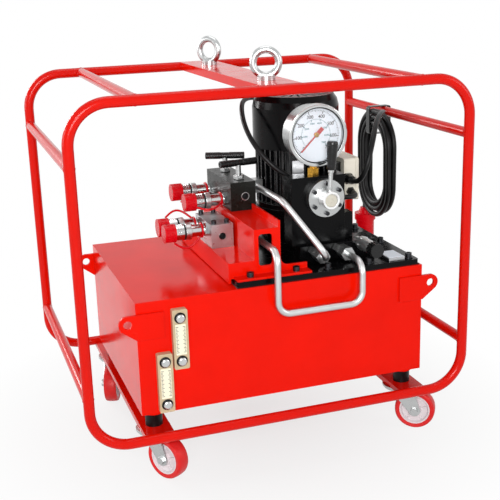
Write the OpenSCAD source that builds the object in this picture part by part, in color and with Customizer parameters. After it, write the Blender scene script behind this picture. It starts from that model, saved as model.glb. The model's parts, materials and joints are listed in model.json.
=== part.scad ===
// Electric hydraulic power unit: a vertical motor drives an axial piston pump that hangs in a
// steel tank, inside a tubular cage on swivel castors. Origin on the floor under the cage's
// middle, +X right, +Y to the rear, +Z up, millimetres.

/* [Cage] */
// Width of a hoop between its tube centres
cage_l = 682; // [650:1:760]
// Distance between the two hoops, centre to centre
cage_w = 488; // [484:1:560]
// Height of a hoop between its tube centres
cage_h = 561; // [556:1:640]
// Outside diameter of the cage tube
tube_d = 18; // [16:0.5:20]
// Bend radius of a hoop's corners at the tube's centre
hoop_bend = 65; // [55:1:80]
// Height of the upper side tubes above the bottom tubes
upper_cross_h = 465; // [455:1:475]
// Height of the lower side tubes above the bottom tubes
lower_cross_h = 89; // [78:1:110]
// Place of the left top tube from the middle
top_left_x = -235; // [-255:1:-200]
// Place of the right top tube from the middle
top_right_x = 250; // [220:1:255]
// Width of the flat bars that carry the tank
bearer_w = 50; // [44:1:56]
// Thickness of the flat bars that carry the tank
bearer_t = 10; // [8:0.5:14]

/* [Lifting] */
// Width of the lifting channel
lift_w = 70; // [60:1:80]
// Depth of the lifting channel
lift_depth = 15; // [13:0.5:17]
// Wall of the lifting channel
lift_wall = 4; // [3:0.5:5]
// Outside diameter of a lifting eye
eye_d = 54; // [48:1:60]
// Hole of a lifting eye
eye_hole = 30; // [24:1:34]
// Thread diameter of a lifting eye
eye_thread = 12; // [10:1:14]
// Place of the front lifting eye
eye_front_y = -174; // [-185:1:-140]
// Place of the rear lifting eye
eye_rear_y = 148; // [120:1:185]

/* [Castors] */
// Diameter of a castor wheel
wheel_d = 75; // [70:1:76]
// Width of a castor tyre
wheel_w = 25; // [20:0.5:28]
// Trail from the swivel to the axle
castor_trail = 32; // [28:1:38]
// Height of a castor from floor to bearer
castor_h = 86; // [84:0.5:96]
// Diameter of a castor axle
axle_d = 8; // [6:0.5:10]
// Distance of a castor's swivel from the hoop's middle plane
castor_inset_y = 69; // [64:1:80]

/* [Tank] */
// Length of the tank
tank_l = 524; // [510:1:530]
// Depth of the tank
tank_w = 386; // [380:1:392]
// Height of the tank
tank_h = 200; // [190:1:205]
// Sheet thickness of the tank
tank_wall = 3; // [2:0.5:4]
// Height of the rubber feet
foot_h = 23; // [18:0.5:26]
// Diameter of the rubber feet
foot_d = 30; // [26:1:34]
// Height of the welded boss over a foot
boss_h = 6; // [4:0.5:8]
// Hole of a tie-down ear
ear_hole = 14; // [10:0.5:16]
// Plate thickness of a tie-down ear
ear_t = 5; // [4:0.5:8]
// Width of a level gauge
level_w = 26; // [24:1:30]
// Height of a level gauge
level_h = 105; // [100:1:112]
// Bolt spacing of a level gauge
level_pitch = 76; // [74:1:78]

/* [Cover] */
// Length of the cover plate
cover_l = 343; // [338:1:345]
// Depth of the cover plate
cover_w = 366; // [360:1:372]
// Thickness of the cover plate
cover_t = 8; // [6:0.5:10]
// Thickness of the gasket
gasket_t = 2; // [1:0.25:3]
// Thread diameter of the cover screws
cover_thread = 8; // [6:0.5:9]

/* [Motor] */
// Distance of the motor's axis from the cover's left edge
motor_from_cover = 195; // [193:1:198]
// Place of the motor's axis from the cage's middle, front to rear
motor_y = 10; // [8:1:14]
// Diameter over the cooling fins
fin_d = 154; // [148:1:156]
// Number of cooling fins
fin_count = 36; // [24:4:40]
// Thickness of a cooling fin
fin_t = 2.5; // [2:0.25:3.5]
// Height of the bell housing
bell_h = 74; // [70:1:78]
// Height of the finned frame
frame_h = 123; // [118:1:128]
// Height of the fan cowl
cowl_h = 86; // [80:1:92]
// Outside diameter of the fan cowl
cowl_d = 162; // [160:1:166]
// Diameter of the motor shaft
shaft_d = 19; // [14:1:24]

/* [Pump] */
// Outside diameter of the pump housing
pump_d = 130; // [120:1:140]
// Number of pistons
piston_count = 5; // [3:1:7]
// Diameter of a piston
piston_d = 16; // [12:1:18]
// Pitch circle of the pistons
piston_pcd = 62; // [58:1:68]
// Tilt of the swash plate
swash_tilt = 12; // [8:1:14]

/* [Valves] */
// Width of the valve block
block_w = 102; // [98:1:106]
// Depth of the valve block
block_d = 38; // [34:1:40]
// Height of the valve block
block_h = 123; // [119:1:127]
// Height of the port block under it
port_block_h = 28; // [26:1:30]
// Diameter of the directional valve's flange
flange_d = 68; // [62:1:70]
// Length of the directional valve's lever from its axis
lever_l = 100; // [80:1:104]
// Diameter of the pressure gauge's case
gauge_d = 102; // [96:1:106]
// Depth of the pressure gauge's case
gauge_depth = 42; // [36:1:44]
// Diameter of the steel pressure pipes
pipe_d = 12; // [10:0.5:12]

/* [Outlets] */
// Sheet thickness of the outlet bracket
bracket_t = 4; // [3:0.5:5]
// Width of the lower shelf
low_shelf_w = 47; // [46:0.5:50]
// Width of the upper shelf
high_shelf_w = 48; // [46:0.5:52]
// Height of the lower shelf above the cover plate
low_shelf_h = 28; // [26:0.5:30]
// Height of the upper shelf above the cover plate
high_shelf_h = 82; // [80:0.5:84]
// Depth of the bracket
bracket_d = 305; // [295:1:315]
// Width and height of the shut-off block
shutoff_size = [48, 53]; // [40:1:60]
// Length of the shut-off block
shutoff_l = 149; // [140:1:155]
// Width and height of the return block
return_size = [41, 43]; // [38:1:46]
// Length of the return block
return_l = 101; // [96:1:108]
// Length of a T-handle's bar
t_bar_l = 75; // [60:1:77]
// Diameter of a T-handle's bar
t_bar_d = 13; // [10:0.5:14]
// Diameter of a quick coupler's sleeve
coupler_d = 28; // [26:0.5:30]
// Diameter of a dust cap
cap_d = 33; // [31.5:0.5:36]

/* [Cord] */
// Diameter of the power cord
cord_d = 10; // [9:0.25:10]
// Turns in the hank, counted over both layers
hank_turns = 5.2083; // [5.2083:1:6.2083]
// Diameter of the motor lead
lead_d = 9; // [8:0.25:9]

/* [Hidden] */
$fn = 64;
weld_gap = 0.2;
seat_gap = 0.3;
run_gap = 0.05;
slip_gap = 0.5;
over = 1;

red = "#d3131a";
black = "#1c1c1f";
zinc = "#c9cccf";
rubber = "#222222";
brass = "#c9a24b";
cream = "#efe9d6";
grey = "#bdb9b0";

// Heights that follow from one another, floor upwards
bearer_top = castor_h + bearer_t;
hoop_z = bearer_top;
hoop_top = hoop_z + cage_h;
tank_z = bearer_top + foot_h + boss_h;
tank_top = tank_z + tank_h;
cover_z = tank_top + gasket_t;
cover_top = cover_z + cover_t;
bell_top = cover_top + bell_h;
frame_top = bell_top + frame_h;
cowl_top = frame_top + cowl_h;
port_top = cover_top + port_block_h;
block_top = port_top + block_h;

// The tank stands a little right of the cage's middle and near its front
tank_x0 = 13 - tank_l / 2;
tank_x1 = 13 + tank_l / 2;
tank_y0 = -17 - tank_w / 2;
tank_y1 = -17 + tank_w / 2;
foot_inset = 25;
bearer_x = [tank_x0 + foot_inset, tank_x1 - foot_inset];
foot_y = [tank_y0 + foot_inset, tank_y1 - foot_inset];

// The cover plate lies against the tank's right and front edges
cover_x1 = tank_x1 - 4;
cover_x0 = cover_x1 - cover_l;
motor_x = cover_x0 + motor_from_cover;
cover_y0 = tank_y0 + 4;
cover_y1 = cover_y0 + cover_w;
screw_inset = 14;
screw_dx = (cover_l - 2 * screw_inset) / 4;
screw_dy = (cover_w - 2 * screw_inset) / 3;
cover_screws = concat(
  [for (k = [0:3]) [cover_x1 - screw_inset, cover_y0 + screw_inset + k * screw_dy]],
  [for (k = [1:3]) [cover_x0 + screw_inset, cover_y0 + screw_inset + k * screw_dy]],
  [for (k = [1:2]) [cover_x1 - screw_inset - k * screw_dx, cover_y0 + screw_inset]],
  [for (k = [1:3]) [cover_x1 - screw_inset - k * screw_dx, cover_y1 - screw_inset]]
);

// Upper tube of a side, on which the hank hangs
side_x = cage_l / 2;
upper_z = hoop_z + upper_cross_h;
lower_z = hoop_z + lower_cross_h;

function unit(v) = v / norm(v);
function square_to(v) = unit(cross(abs(v.z) < 0.9 ? [0, 0, 1] : [1, 0, 0], v));
function place(o, i, j, k) = [
  [i.x, j.x, k.x, o.x], [i.y, j.y, k.y, o.y], [i.z, j.z, k.z, o.z], [0, 0, 0, 1]
];

// A round bar from a to b
module bar(a, b, d) {
  k = unit(b - a);
  i = square_to(k);
  multmatrix(place(a, i, cross(k, i), k)) cylinder(h = norm(b - a), d = d);
}

// The quarter of a ring that joins two straight runs at a corner
module elbow(before, corner, after, d, bend) {
  u = unit(corner - before);
  v = unit(after - corner);
  turn = acos(u * v);
  c = corner + unit(v - u) * bend / cos(turn / 2);
  i = unit(corner - u * bend * tan(turn / 2) - c);
  multmatrix(place(c, i, u, cross(i, u)))
    rotate_extrude(angle = turn) translate([bend, 0]) circle(d = d);
}

function cut_back(p, q, r, bend) = bend * tan(acos(unit(q - p) * unit(r - q)) / 2);

// A round bar bent at each corner of an open route
module bent_bar(p, d, bend) {
  n = len(p);
  for (i = [0:n - 2]) {
    u = unit(p[i + 1] - p[i]);
    a = i == 0 ? p[0] : p[i] + u * cut_back(p[i - 1], p[i], p[i + 1], bend);
    b = i == n - 2 ? p[n - 1] : p[i + 1] - u * cut_back(p[i], p[i + 1], p[i + 2], bend);
    bar(a, b, d);
  }
  for (i = [1:n - 2]) elbow(p[i - 1], p[i], p[i + 1], d, bend);
}

function tangent(p, i) = unit(p[min(i + 1, len(p) - 1)] - p[max(i - 1, 0)]);
function carried(p, i, s) = i >= len(p) ? [] :
  let (t = tangent(p, i), n = unit(s - (s * t) * t)) concat([n], carried(p, i + 1, n));

// A faceted round tube through every point of a route
module tube_along(p, d, sides) {
  s = carried(p, 0, square_to(tangent(p, 0)));
  last = len(p) - 1;
  points = [for (i = [0:last]) let (t = tangent(p, i), w = cross(t, s[i])) for (k = [0:sides - 1])
    p[i] + d / 2 * (cos(360 * k / sides) * s[i] + sin(360 * k / sides) * w)];
  walls = [for (i = [0:last - 1]) for (k = [0:sides - 1])
    let (a = i * sides + k, b = i * sides + (k + 1) % sides)
    each [[a, a + sides, b], [b, a + sides, b + sides]]];
  start = [for (k = [1:sides - 2]) [0, k, k + 1]];
  end = [for (k = [1:sides - 2]) [last * sides, last * sides + k + 1, last * sides + k]];
  polyhedron(points, concat(walls, start, end));
}

// The points of a route with each corner rounded to a bend
function rounded(p, bend, n) = concat([p[0]], [for (m = [1:len(p) - 2])
  let (u = unit(p[m] - p[m - 1]), v = unit(p[m + 1] - p[m]), turn = acos(u * v),
       c = p[m] + unit(v - u) * bend / cos(turn / 2),
       i = unit(p[m] - u * bend * tan(turn / 2) - c))
  for (k = [0:n]) c + bend * (cos(turn * k / n) * i + sin(turn * k / n) * u)],
  [p[len(p) - 1]]);

// A plate with round corners
module round_plate(size, r) {
  for (x = [r, size.x - r]) for (y = [r, size.y - r]) translate([x, y]) circle(r);
  translate([r, 0]) square([size.x - 2 * r, size.y]);
  translate([0, r]) square([size.x, size.y - 2 * r]);
}

// Cage

module hoop(y) {
  x = cage_l / 2;
  mid = [0, y, hoop_z];
  corners = [[x, y, hoop_z], [x, y, hoop_top], [-x, y, hoop_top], [-x, y, hoop_z]];
  bent_bar(concat([mid], corners, [mid]), tube_d, hoop_bend);
}
module front_hoop() { color(red) hoop(-cage_w / 2); }
module rear_hoop() { color(red) hoop(cage_w / 2); }

// The hoops' outer tubes, a weld gap wider, that every cross member is cut to
module hoop_tubes() {
  grown = tube_d + 2 * weld_gap;
  for (y = [-cage_w / 2, cage_w / 2]) {
    for (z = [hoop_z, hoop_top]) bar([-cage_l, y, z], [cage_l, y, z], grown);
    for (x = [-side_x, side_x]) bar([x, y, 0], [x, y, hoop_top + tube_d], grown);
  }
}

module cross_members() {
  color(red) {
    for (p = [[top_left_x, hoop_top], [top_right_x, hoop_top], [-side_x, upper_z],
              [side_x, upper_z], [-side_x, lower_z], [side_x, lower_z]])
      difference() {
        bar([p.x, -cage_w / 2, p.y], [p.x, cage_w / 2, p.y], tube_d);
        hoop_tubes();
      }
    for (x = bearer_x)
      difference() {
        translate([x - bearer_w / 2, -cage_w / 2, castor_h]) cube([bearer_w, cage_w, bearer_t]);
        hoop_tubes();
        for (y = castor_y) translate([x, y, castor_h - over])
          cylinder(h = bearer_t + 2 * over, d = head_stud_d + 2 * run_gap);
      }
  }
}

// Lifting gear

lift_top = hoop_top + tube_d / 2;

module lifting_bar() {
  color(red) difference() {
    translate([-lift_w / 2, -cage_w / 2, lift_top - lift_depth]) cube([lift_w, cage_w, lift_depth]);
    translate([-lift_w / 2 + lift_wall, -cage_w, lift_top - lift_depth - over])
      cube([lift_w - 2 * lift_wall, 2 * cage_w, lift_depth - lift_wall + over]);
    hoop_tubes();
    for (y = [eye_front_y, eye_rear_y]) translate([0, y, lift_top - lift_depth])
      cylinder(h = 2 * lift_depth, d = eye_thread + 2 * slip_gap);
  }
}

eye_ring_z = eye_d / 2 + 1;
eye_collar_h = 8;
eye_shank = lift_wall + 2;

module lifting_eye(y, turn) {
  section = (eye_d - eye_hole) / 4;
  translate([0, y, lift_top]) rotate([0, 0, turn]) {
    translate([0, 0, eye_ring_z]) rotate([90, 0, 0])
      rotate_extrude() translate([(eye_d + eye_hole) / 4, 0]) circle(section);
    cylinder(h = eye_collar_h, d = eye_hole);
    translate([0, 0, -eye_shank]) cylinder(h = eye_shank + over, d = eye_thread);
  }
}
module lifting_eyes() {
  color(zinc) {
    lifting_eye(eye_front_y, -18);
    lifting_eye(eye_rear_y, -50);
  }
}

// Castors: heads bolted under the bearers, forks that swivel, wheels on axles

castor_y = [-cage_w / 2 + castor_inset_y, cage_w / 2 - castor_inset_y];
castor_at = [[bearer_x[0], castor_y[0]], [bearer_x[1], castor_y[0]],
             [bearer_x[0], castor_y[1]], [bearer_x[1], castor_y[1]]];
castor_heading = [-57, -34, -110, -20];
head_d = 60;
head_t = 3.5;
head_stud_d = 10;
king_d = 14;
crown_t = 3.5;
crown_d = 54;
crown_z = castor_h - head_t - seat_gap - crown_t;
race_h = 8;
leg_t = 3;
leg_gap = 1;
hub_w = wheel_w + 2 * leg_gap - 2 * seat_gap;
leg_in = wheel_w / 2 + leg_gap;
leg_foot_r = 11;
axle_head = 5;

module castor_heads() {
  color(zinc) for (p = castor_at) translate([p.x, p.y, castor_h]) {
    translate([0, 0, -head_t]) cylinder(h = head_t, d = head_d);
    translate([0, 0, -head_t - seat_gap - crown_t - race_h])
      cylinder(h = head_t + seat_gap + crown_t + race_h, d = king_d);
    cylinder(h = bearer_t - slip_gap, d = head_stud_d);
  }
}

module castor_fork(i) {
  color(zinc) translate([castor_at[i].x, castor_at[i].y, 0]) rotate([0, 0, castor_heading[i]]) {
    difference() {
      union() {
        translate([0, 0, crown_z]) cylinder(h = crown_t, d = crown_d);
        translate([0, -leg_in - leg_t, crown_z])
          cube([castor_trail - 4, 2 * (leg_in + leg_t), crown_t]);
        translate([0, 0, crown_z - race_h]) cylinder(h = race_h, d = king_d + 10);
      }
      translate([0, 0, crown_z - race_h - over])
        cylinder(h = crown_t + race_h + 2 * over, d = king_d + 2 * run_gap);
    }
    for (side = [-1, 1]) translate([0, side * (leg_in + leg_t / 2), 0]) rotate([90, 0, 0])
      translate([0, 0, -leg_t / 2]) linear_extrude(leg_t) {
        polygon([[-crown_d / 2 + 10, crown_z + crown_t], [castor_trail - 4, crown_z + crown_t],
                 [castor_trail + leg_foot_r - 1, wheel_d / 2 + 4],
                 [castor_trail - leg_foot_r + 1, wheel_d / 2 - 4]]);
        translate([castor_trail, wheel_d / 2]) circle(leg_foot_r);
      }
    translate([castor_trail, 0, wheel_d / 2]) rotate([90, 0, 0]) {
      cylinder(h = 2 * (leg_in + leg_t), d = axle_d, center = true);
      for (side = [0, 1]) mirror([0, 0, side]) translate([0, 0, leg_in + leg_t - 0.5])
        cylinder(h = axle_head + 0.5, d = 2 * axle_d - 2, $fn = 6);
    }
  }
}

rim_d = wheel_d - 18;

module castor_wheel(i) {
  translate([castor_at[i].x, castor_at[i].y, wheel_d / 2]) rotate([0, 0, castor_heading[i]])
    translate([castor_trail, 0, 0]) rotate([90, 0, 0]) {
      color(red) rotate_extrude() difference() {
        translate([rim_d / 2, -wheel_w / 2]) square([(wheel_d - rim_d) / 2, wheel_w]);
        for (s = [-1, 1]) translate([wheel_d / 2, s * wheel_w / 2]) circle(3, $fn = 4);
      }
      color("#e9e7ea") rotate_extrude() difference() {
        union() {
          translate([axle_d / 2 + run_gap, -hub_w / 2]) square([7, hub_w]);
          translate([axle_d / 2 + run_gap, -wheel_w / 2 + 5])
            square([rim_d / 2 - axle_d / 2 - run_gap, wheel_w - 10]);
          translate([rim_d / 2 - 4, -wheel_w / 2 + 1]) square([4, wheel_w - 2]);
        }
      }
    }
}

// Tank

module rubber_feet() {
  color(rubber) for (x = bearer_x) for (y = foot_y) translate([x, y, bearer_top])
    cylinder(h = foot_h, d = foot_d);
}

tank_opening_inset = 2 * screw_inset;

module tank_shell() {
  color(red) {
    difference() {
      translate([tank_x0, tank_y0, tank_z]) cube([tank_l, tank_w, tank_h]);
      translate([tank_x0 + tank_wall, tank_y0 + tank_wall, tank_z + tank_wall])
        cube([tank_l - 2 * tank_wall, tank_w - 2 * tank_wall, tank_h - 2 * tank_wall]);
      translate([cover_x0 + tank_opening_inset, cover_y0 + tank_opening_inset, tank_top - 2 * tank_wall])
        cube([cover_l - 2 * tank_opening_inset, cover_w - 2 * tank_opening_inset, 4 * tank_wall]);
      for (p = cover_screws) translate([p.x, p.y, tank_top - 2 * tank_wall])
        cylinder(h = 4 * tank_wall, d = cover_thread + 2 * slip_gap);
      for (p = level_bolts) translate([p.x, tank_y0 - over, p.y]) rotate([-90, 0, 0])
        cylinder(h = tank_wall + 2 * over, d = level_thread + 2 * slip_gap);
    }
    for (x = bearer_x) for (y = foot_y) translate([x, y, tank_z - boss_h])
      cylinder(h = boss_h, d = foot_d + 6);
  }
}

ear_r = 15;
ear_out = 15;
ear_in = 46;
ear_drop = 34;

module tie_down_ears() {
  color(red) for (end = [0, 1]) for (face = [0, 1])
    translate([end ? tank_x1 : tank_x0, face ? tank_y1 + ear_t : tank_y0, tank_top - ear_drop])
      mirror([end ? 0 : 1, 0, 0]) rotate([90, 0, 0]) linear_extrude(ear_t) difference() {
        union() {
          translate([-ear_in, -ear_r]) square([ear_in + ear_out, 2 * ear_r]);
          translate([ear_out, 0]) circle(ear_r);
          translate([-ear_in, -2 * ear_r]) square([ear_in, 2 * ear_r]);
        }
        translate([ear_out, 0]) circle(d = ear_hole);
      }
}

level_t = 12;
level_thread = 8;
level_at = [[tank_x0 + 71, tank_z + 131], [tank_x0 + 42, tank_z + 57]];
level_bolts = [for (p = level_at) for (s = [-1, 1]) [p.x, p.y + s * level_pitch / 2]];
window = [11, 52];
window_t = 6;

module level_gauge_frames() {
  color(cream) for (p = level_at) translate([p.x, tank_y0, p.y]) rotate([90, 0, 0]) difference() {
    translate([-level_w / 2, -level_h / 2, 0]) linear_extrude(level_t)
      round_plate([level_w, level_h], 3);
    translate([-window.x / 2, -window.y / 2, level_t - window_t - seat_gap])
      cube([window.x, window.y, window_t + over]);
    for (s = [-1, 1]) translate([0, s * level_pitch / 2, -over])
      cylinder(h = level_t + 2 * over, d = level_thread + 2 * slip_gap);
  }
}
module level_gauge_tubes() {
  color("#e8c66a") for (p = level_at) translate([p.x, tank_y0, p.y]) rotate([90, 0, 0])
    translate([-window.x / 2 + seat_gap, -window.y / 2 + seat_gap, level_t - window_t])
      cube([window.x - 2 * seat_gap, window.y - 2 * seat_gap, window_t]);
}

module hex_bolt(thread, shank) {
  cylinder(h = 0.6 * thread, d = 1.9 * thread, $fn = 6);
  translate([0, 0, -shank]) cylinder(h = shank + over, d = thread);
}

// Hollow level-gauge bolts and the eyes' nuts under the channel
module hex_bolts() {
  color(zinc) {
    for (p = level_bolts) translate([p.x, tank_y0 - level_t, p.y]) rotate([90, 0, 0])
      hex_bolt(level_thread, level_t + tank_wall + 6);
    for (y = [eye_front_y, eye_rear_y])
      translate([0, y, lift_top - lift_wall - 0.6 * eye_thread]) difference() {
        cylinder(h = 0.6 * eye_thread, d = 1.9 * eye_thread, $fn = 6);
        translate([0, 0, -over]) cylinder(h = eye_thread, d = eye_thread + 2 * run_gap);
      }
  }
}

// Cover

pump_hole_d = 60;

module cover_gasket() {
  color(rubber) translate([0, 0, tank_top]) difference() {
    translate([cover_x0, cover_y0, 0]) cube([cover_l, cover_w, gasket_t]);
    translate([cover_x0 + tank_opening_inset, cover_y0 + tank_opening_inset, -over])
      cube([cover_l - 2 * tank_opening_inset, cover_w - 2 * tank_opening_inset, gasket_t + 2 * over]);
    for (p = cover_screws) translate([p.x, p.y, -over])
      cylinder(h = gasket_t + 2 * over, d = cover_thread + 2 * slip_gap);
  }
}

module cover_plate() {
  color(black) translate([0, 0, cover_z]) difference() {
    translate([cover_x0, cover_y0, 0]) linear_extrude(cover_t) round_plate([cover_l, cover_w], 6);
    translate([motor_x, motor_y, -over]) cylinder(h = cover_t + 2 * over, d = pump_hole_d);
    for (p = concat(cover_screws, foot_screws)) translate([p.x, p.y, -over])
      cylinder(h = cover_t + 2 * over, d = cover_thread + 2 * slip_gap);
  }
}

// A socket-head screw on its washer, head up, seated at the origin
module socket_screw(thread, shank, washer) {
  if (washer > 0) difference() {
    cylinder(h = washer, d = 2 * thread);
    translate([0, 0, -over]) cylinder(h = washer + 2 * over, d = thread + 2 * run_gap);
  }
  translate([0, 0, washer]) difference() {
    cylinder(h = thread, d = 1.5 * thread);
    translate([0, 0, thread / 2]) cylinder(h = thread, d = 0.9 * thread, $fn = 6);
  }
  translate([0, 0, -shank]) cylinder(h = shank + washer + over, d = thread);
}

flange_screw = 5;
washer_t = 1.6;

module socket_screws() {
  color("#3a3b3d") {
    for (p = cover_screws) translate([p.x, p.y, cover_top])
      socket_screw(cover_thread, cover_t + gasket_t + tank_wall + 2, washer_t);
    for (p = foot_screws) translate([p.x, p.y, cover_top + bracket_t])
      socket_screw(cover_thread, cover_t + bracket_t, 0);
    for (k = [0:5]) translate(valve_c) rotate([90, 0, 0])
      translate([flange_pcd / 2 * cos(60 * k + 30), flange_pcd / 2 * sin(60 * k + 30), flange_t])
        socket_screw(flange_screw, flange_t, 0);
    for (dx = [-12, 12]) for (y = return_screw_y)
      translate([return_x0 + return_size.x / 2 + dx, y, low_z + return_size.y])
        socket_screw(6, return_size.y - 10, 0);
  }
}

// Motor

frame_core_d = 132;
stator_bore = 84;
shield_t = 10;
pad_w = 62;
box_z = bell_top + 4;
box_h = 80;
box_w = 92;
box_t = 30;

module motor_bell() {
  color(black) translate([motor_x, motor_y, cover_top]) difference() {
    union() {
      cylinder(h = bell_h, d = fin_d - 14);
      cylinder(h = 12, d = fin_d + 4);
      translate([0, 0, bell_h - 12]) cylinder(h = 12, d = fin_d + 4);
    }
    translate([0, 0, -over]) cylinder(h = bell_h + 2 * over, d = frame_core_d - 20);
  }
}

module motor_frame() {
  color(black) translate([motor_x, motor_y, bell_top]) difference() {
    union() {
      linear_extrude(frame_h) {
        circle(d = frame_core_d);
        for (k = [0:fin_count - 1]) rotate(360 * k / fin_count)
          translate([0, -fin_t / 2]) square([fin_d / 2, fin_t]);
      }
      cylinder(h = shield_t, d = fin_d);
      translate([0, 0, frame_h - shield_t]) cylinder(h = shield_t, d = cowl_d - 4 - 2 * seat_gap);
      translate([0, -pad_w / 2, 14]) cube([fin_d / 2 + 2, pad_w, pad_w]);
      translate([-pad_w / 2, 0, 30]) cube([pad_w, fin_d / 2 + 2, pad_w]);
    }
    translate([0, 0, shield_t]) cylinder(h = frame_h - 2 * shield_t, d = stator_bore);
    translate([0, 0, -over]) cylinder(h = frame_h + 2 * over, d = shaft_d + 2 * run_gap);
  }
}

cowl_wall = 2;
cowl_lap = shield_t;

module fan_cowl() {
  r = cowl_d / 2;
  color(black) translate([motor_x, motor_y, frame_top - cowl_lap]) difference() {
    rotate_extrude() polygon([[r - cowl_wall, 0], [r, 0], [r, cowl_h + cowl_lap - 22],
      [r - 3, cowl_h + cowl_lap - 10], [r - 10, cowl_h + cowl_lap], [0, cowl_h + cowl_lap],
      [0, cowl_h + cowl_lap - cowl_wall], [r - 11, cowl_h + cowl_lap - cowl_wall],
      [r - 3 - cowl_wall, cowl_h + cowl_lap - 11], [r - cowl_wall, cowl_h + cowl_lap - 22]]);
    for (k = [0:23]) rotate(15 * k)
      translate([24, -2, cowl_h + cowl_lap - 2 * cowl_wall]) cube([38, 4, 4 * cowl_wall]);
  }
}

box_x = motor_x + fin_d / 2 + 2;

module terminal_box() {
  color(grey) translate([box_x, motor_y - box_w / 2, box_z]) {
    rotate([90, 0, 90]) linear_extrude(box_t - 6) round_plate([box_w, box_h], 5);
    translate([box_t - 6, -1, -1]) rotate([90, 0, 90]) linear_extrude(6)
      round_plate([box_w + 2, box_h + 2], 6);
  }
}

junction_y = motor_y + fin_d / 2 + 2;
junction_size = [76, 44, 84];
junction_z = bell_top + 26;

module junction_box() {
  color(grey) translate([motor_x - junction_size.x / 2, junction_y, junction_z]) {
    rotate([90, 0, 0]) mirror([0, 0, 1]) linear_extrude(junction_size.y - 8)
      round_plate([junction_size.x, junction_size.z], 5);
    translate([-1, junction_size.y, -1]) rotate([90, 0, 0]) linear_extrude(8)
      round_plate([junction_size.x + 2, junction_size.z + 2], 6);
  }
}

// A cable gland along +Z, seated at the origin
module gland(hex, h) {
  cylinder(h = 0.4 * h, d = hex, $fn = 6);
  translate([0, 0, 0.4 * h]) cylinder(h = 0.6 * h, d1 = 0.86 * hex, d2 = 0.7 * hex);
}

box_front = motor_y - box_w / 2;
cord_exit = [box_x + 7, box_front - 22, box_z + 43];
lead_from = [motor_x - 27, junction_y + 26, junction_z + junction_size.z + 29];
lead_to = [box_x + 13, box_front - 8, box_z + 17];

module cable_glands() {
  color(black) {
    translate([cord_exit.x, box_front, cord_exit.z]) rotate([90, 0, 0])
      gland(22, box_front - cord_exit.y);
    translate([lead_to.x, box_front, lead_to.z]) rotate([90, 0, 0])
      gland(18, box_front - lead_to.y);
    translate([lead_from.x, lead_from.y, junction_z + junction_size.z])
      gland(18, lead_from.z - junction_z - junction_size.z);
  }
}

// Pump, hung under the cover plate inside the tank

pump_top = cover_z;
swash_z = pump_top - 42;
swash_d = 86;
swash_t = 10;
barrel_z = pump_top - 66;
pump_floor = pump_top - 126;
piston_stop = swash_z - swash_t / 2 / cos(swash_tilt) - swash_d / 2 * sin(swash_tilt) - slip_gap;

module pump_housing() {
  color("#8d9094") translate([motor_x, motor_y, 0]) {
    difference() {
      translate([0, 0, pump_floor]) cylinder(h = pump_top - pump_floor, d = pump_d);
      translate([0, 0, barrel_z]) cylinder(h = pump_top, d = pump_d - 24);
      for (k = [0:piston_count - 1]) rotate(360 * k / piston_count)
        translate([piston_pcd / 2, 0, pump_floor + 16])
          cylinder(h = pump_top, d = piston_d + 2 * run_gap);
    }
    translate([0, 0, pump_floor - 50]) difference() {
      cylinder(h = 50, d = 60);
      translate([0, 0, 4]) cylinder(h = 42, d = 52);
    }
  }
}
module pump_pistons() {
  color(zinc) translate([motor_x, motor_y, 0])
    for (k = [0:piston_count - 1]) rotate(360 * k / piston_count)
      translate([piston_pcd / 2, 0, pump_floor + 20])
        cylinder(h = piston_stop - pump_floor - 20, d = piston_d);
}

fan_d = cowl_d - 30;
shaft_top = frame_top + 40;

// Rotor, cooling fan and swash plate turn with the shaft as one
module motor_rotor() {
  color("#9a9da1") translate([motor_x, motor_y, 0]) {
    translate([0, 0, swash_z]) cylinder(h = shaft_top - swash_z, d = shaft_d);
    translate([0, 0, swash_z]) rotate([0, swash_tilt, 0])
      cylinder(h = swash_t, d = swash_d, center = true);
    translate([0, 0, bell_top + shield_t + 8])
      cylinder(h = frame_h - 2 * shield_t - 16, d = stator_bore - 2);
    translate([0, 0, frame_top + 12]) {
      cylinder(h = 22, d = shaft_d + 16);
      for (k = [0:7]) rotate(45 * k) translate([0, -1.5, 0]) cube([fan_d / 2, 3, 20]);
      cylinder(h = 3, d = fan_d);
    }
  }
}

// Valve stack in front of the motor

stack_x = motor_x - 13;
stack_y = motor_y - fin_d / 2 - 23;
block_y0 = stack_y - block_d;
port_w = 146;
port_x0 = motor_x - 53;
port_y0 = block_y0 - 11;
port_z = cover_top + 15;
port_a = [motor_x - 23, port_y0, port_z];
port_b = [motor_x + 25, port_y0, port_z];
relief_c = [motor_x + 67, port_y0, port_z + 8];
valve_c = [stack_x + 10, block_y0, port_top + 85];
flange_t = 14;
flange_pcd = flange_d - 14;
valve_bore = 16;

module port_block() {
  color(black) difference() {
    translate([port_x0, port_y0, cover_top]) cube([port_w, stack_y - port_y0, port_block_h]);
    for (p = [port_a, port_b, relief_c]) translate([p.x, p.y - over, p.z]) rotate([-90, 0, 0])
      cylinder(h = 24, d = stub_d + 2 * run_gap);
  }
}

side_block_w = 22;

module valve_block() {
  color(black) difference() {
    union() {
      translate([stack_x - block_w / 2, block_y0, port_top]) cube([block_w, block_d, block_h]);
      translate([stack_x + block_w / 2 - over, block_y0 + 14, port_top])
        cube([side_block_w + over, block_d - 14, 48]);
    }
    translate([valve_c.x, valve_c.y - over, valve_c.z]) rotate([-90, 0, 0])
      cylinder(h = 26, d = valve_bore + 2 * run_gap);
    for (k = [0:5]) translate(valve_c) rotate([90, 0, 0])
      translate([flange_pcd / 2 * cos(60 * k + 30), flange_pcd / 2 * sin(60 * k + 30), -10])
        cylinder(h = 10 + over, d = flange_screw + 2 * slip_gap);
    translate([stack_x, gauge_y, block_top - 12]) cylinder(h = 12 + over, d = stub_d + 2 * run_gap);
  }
}

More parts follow.
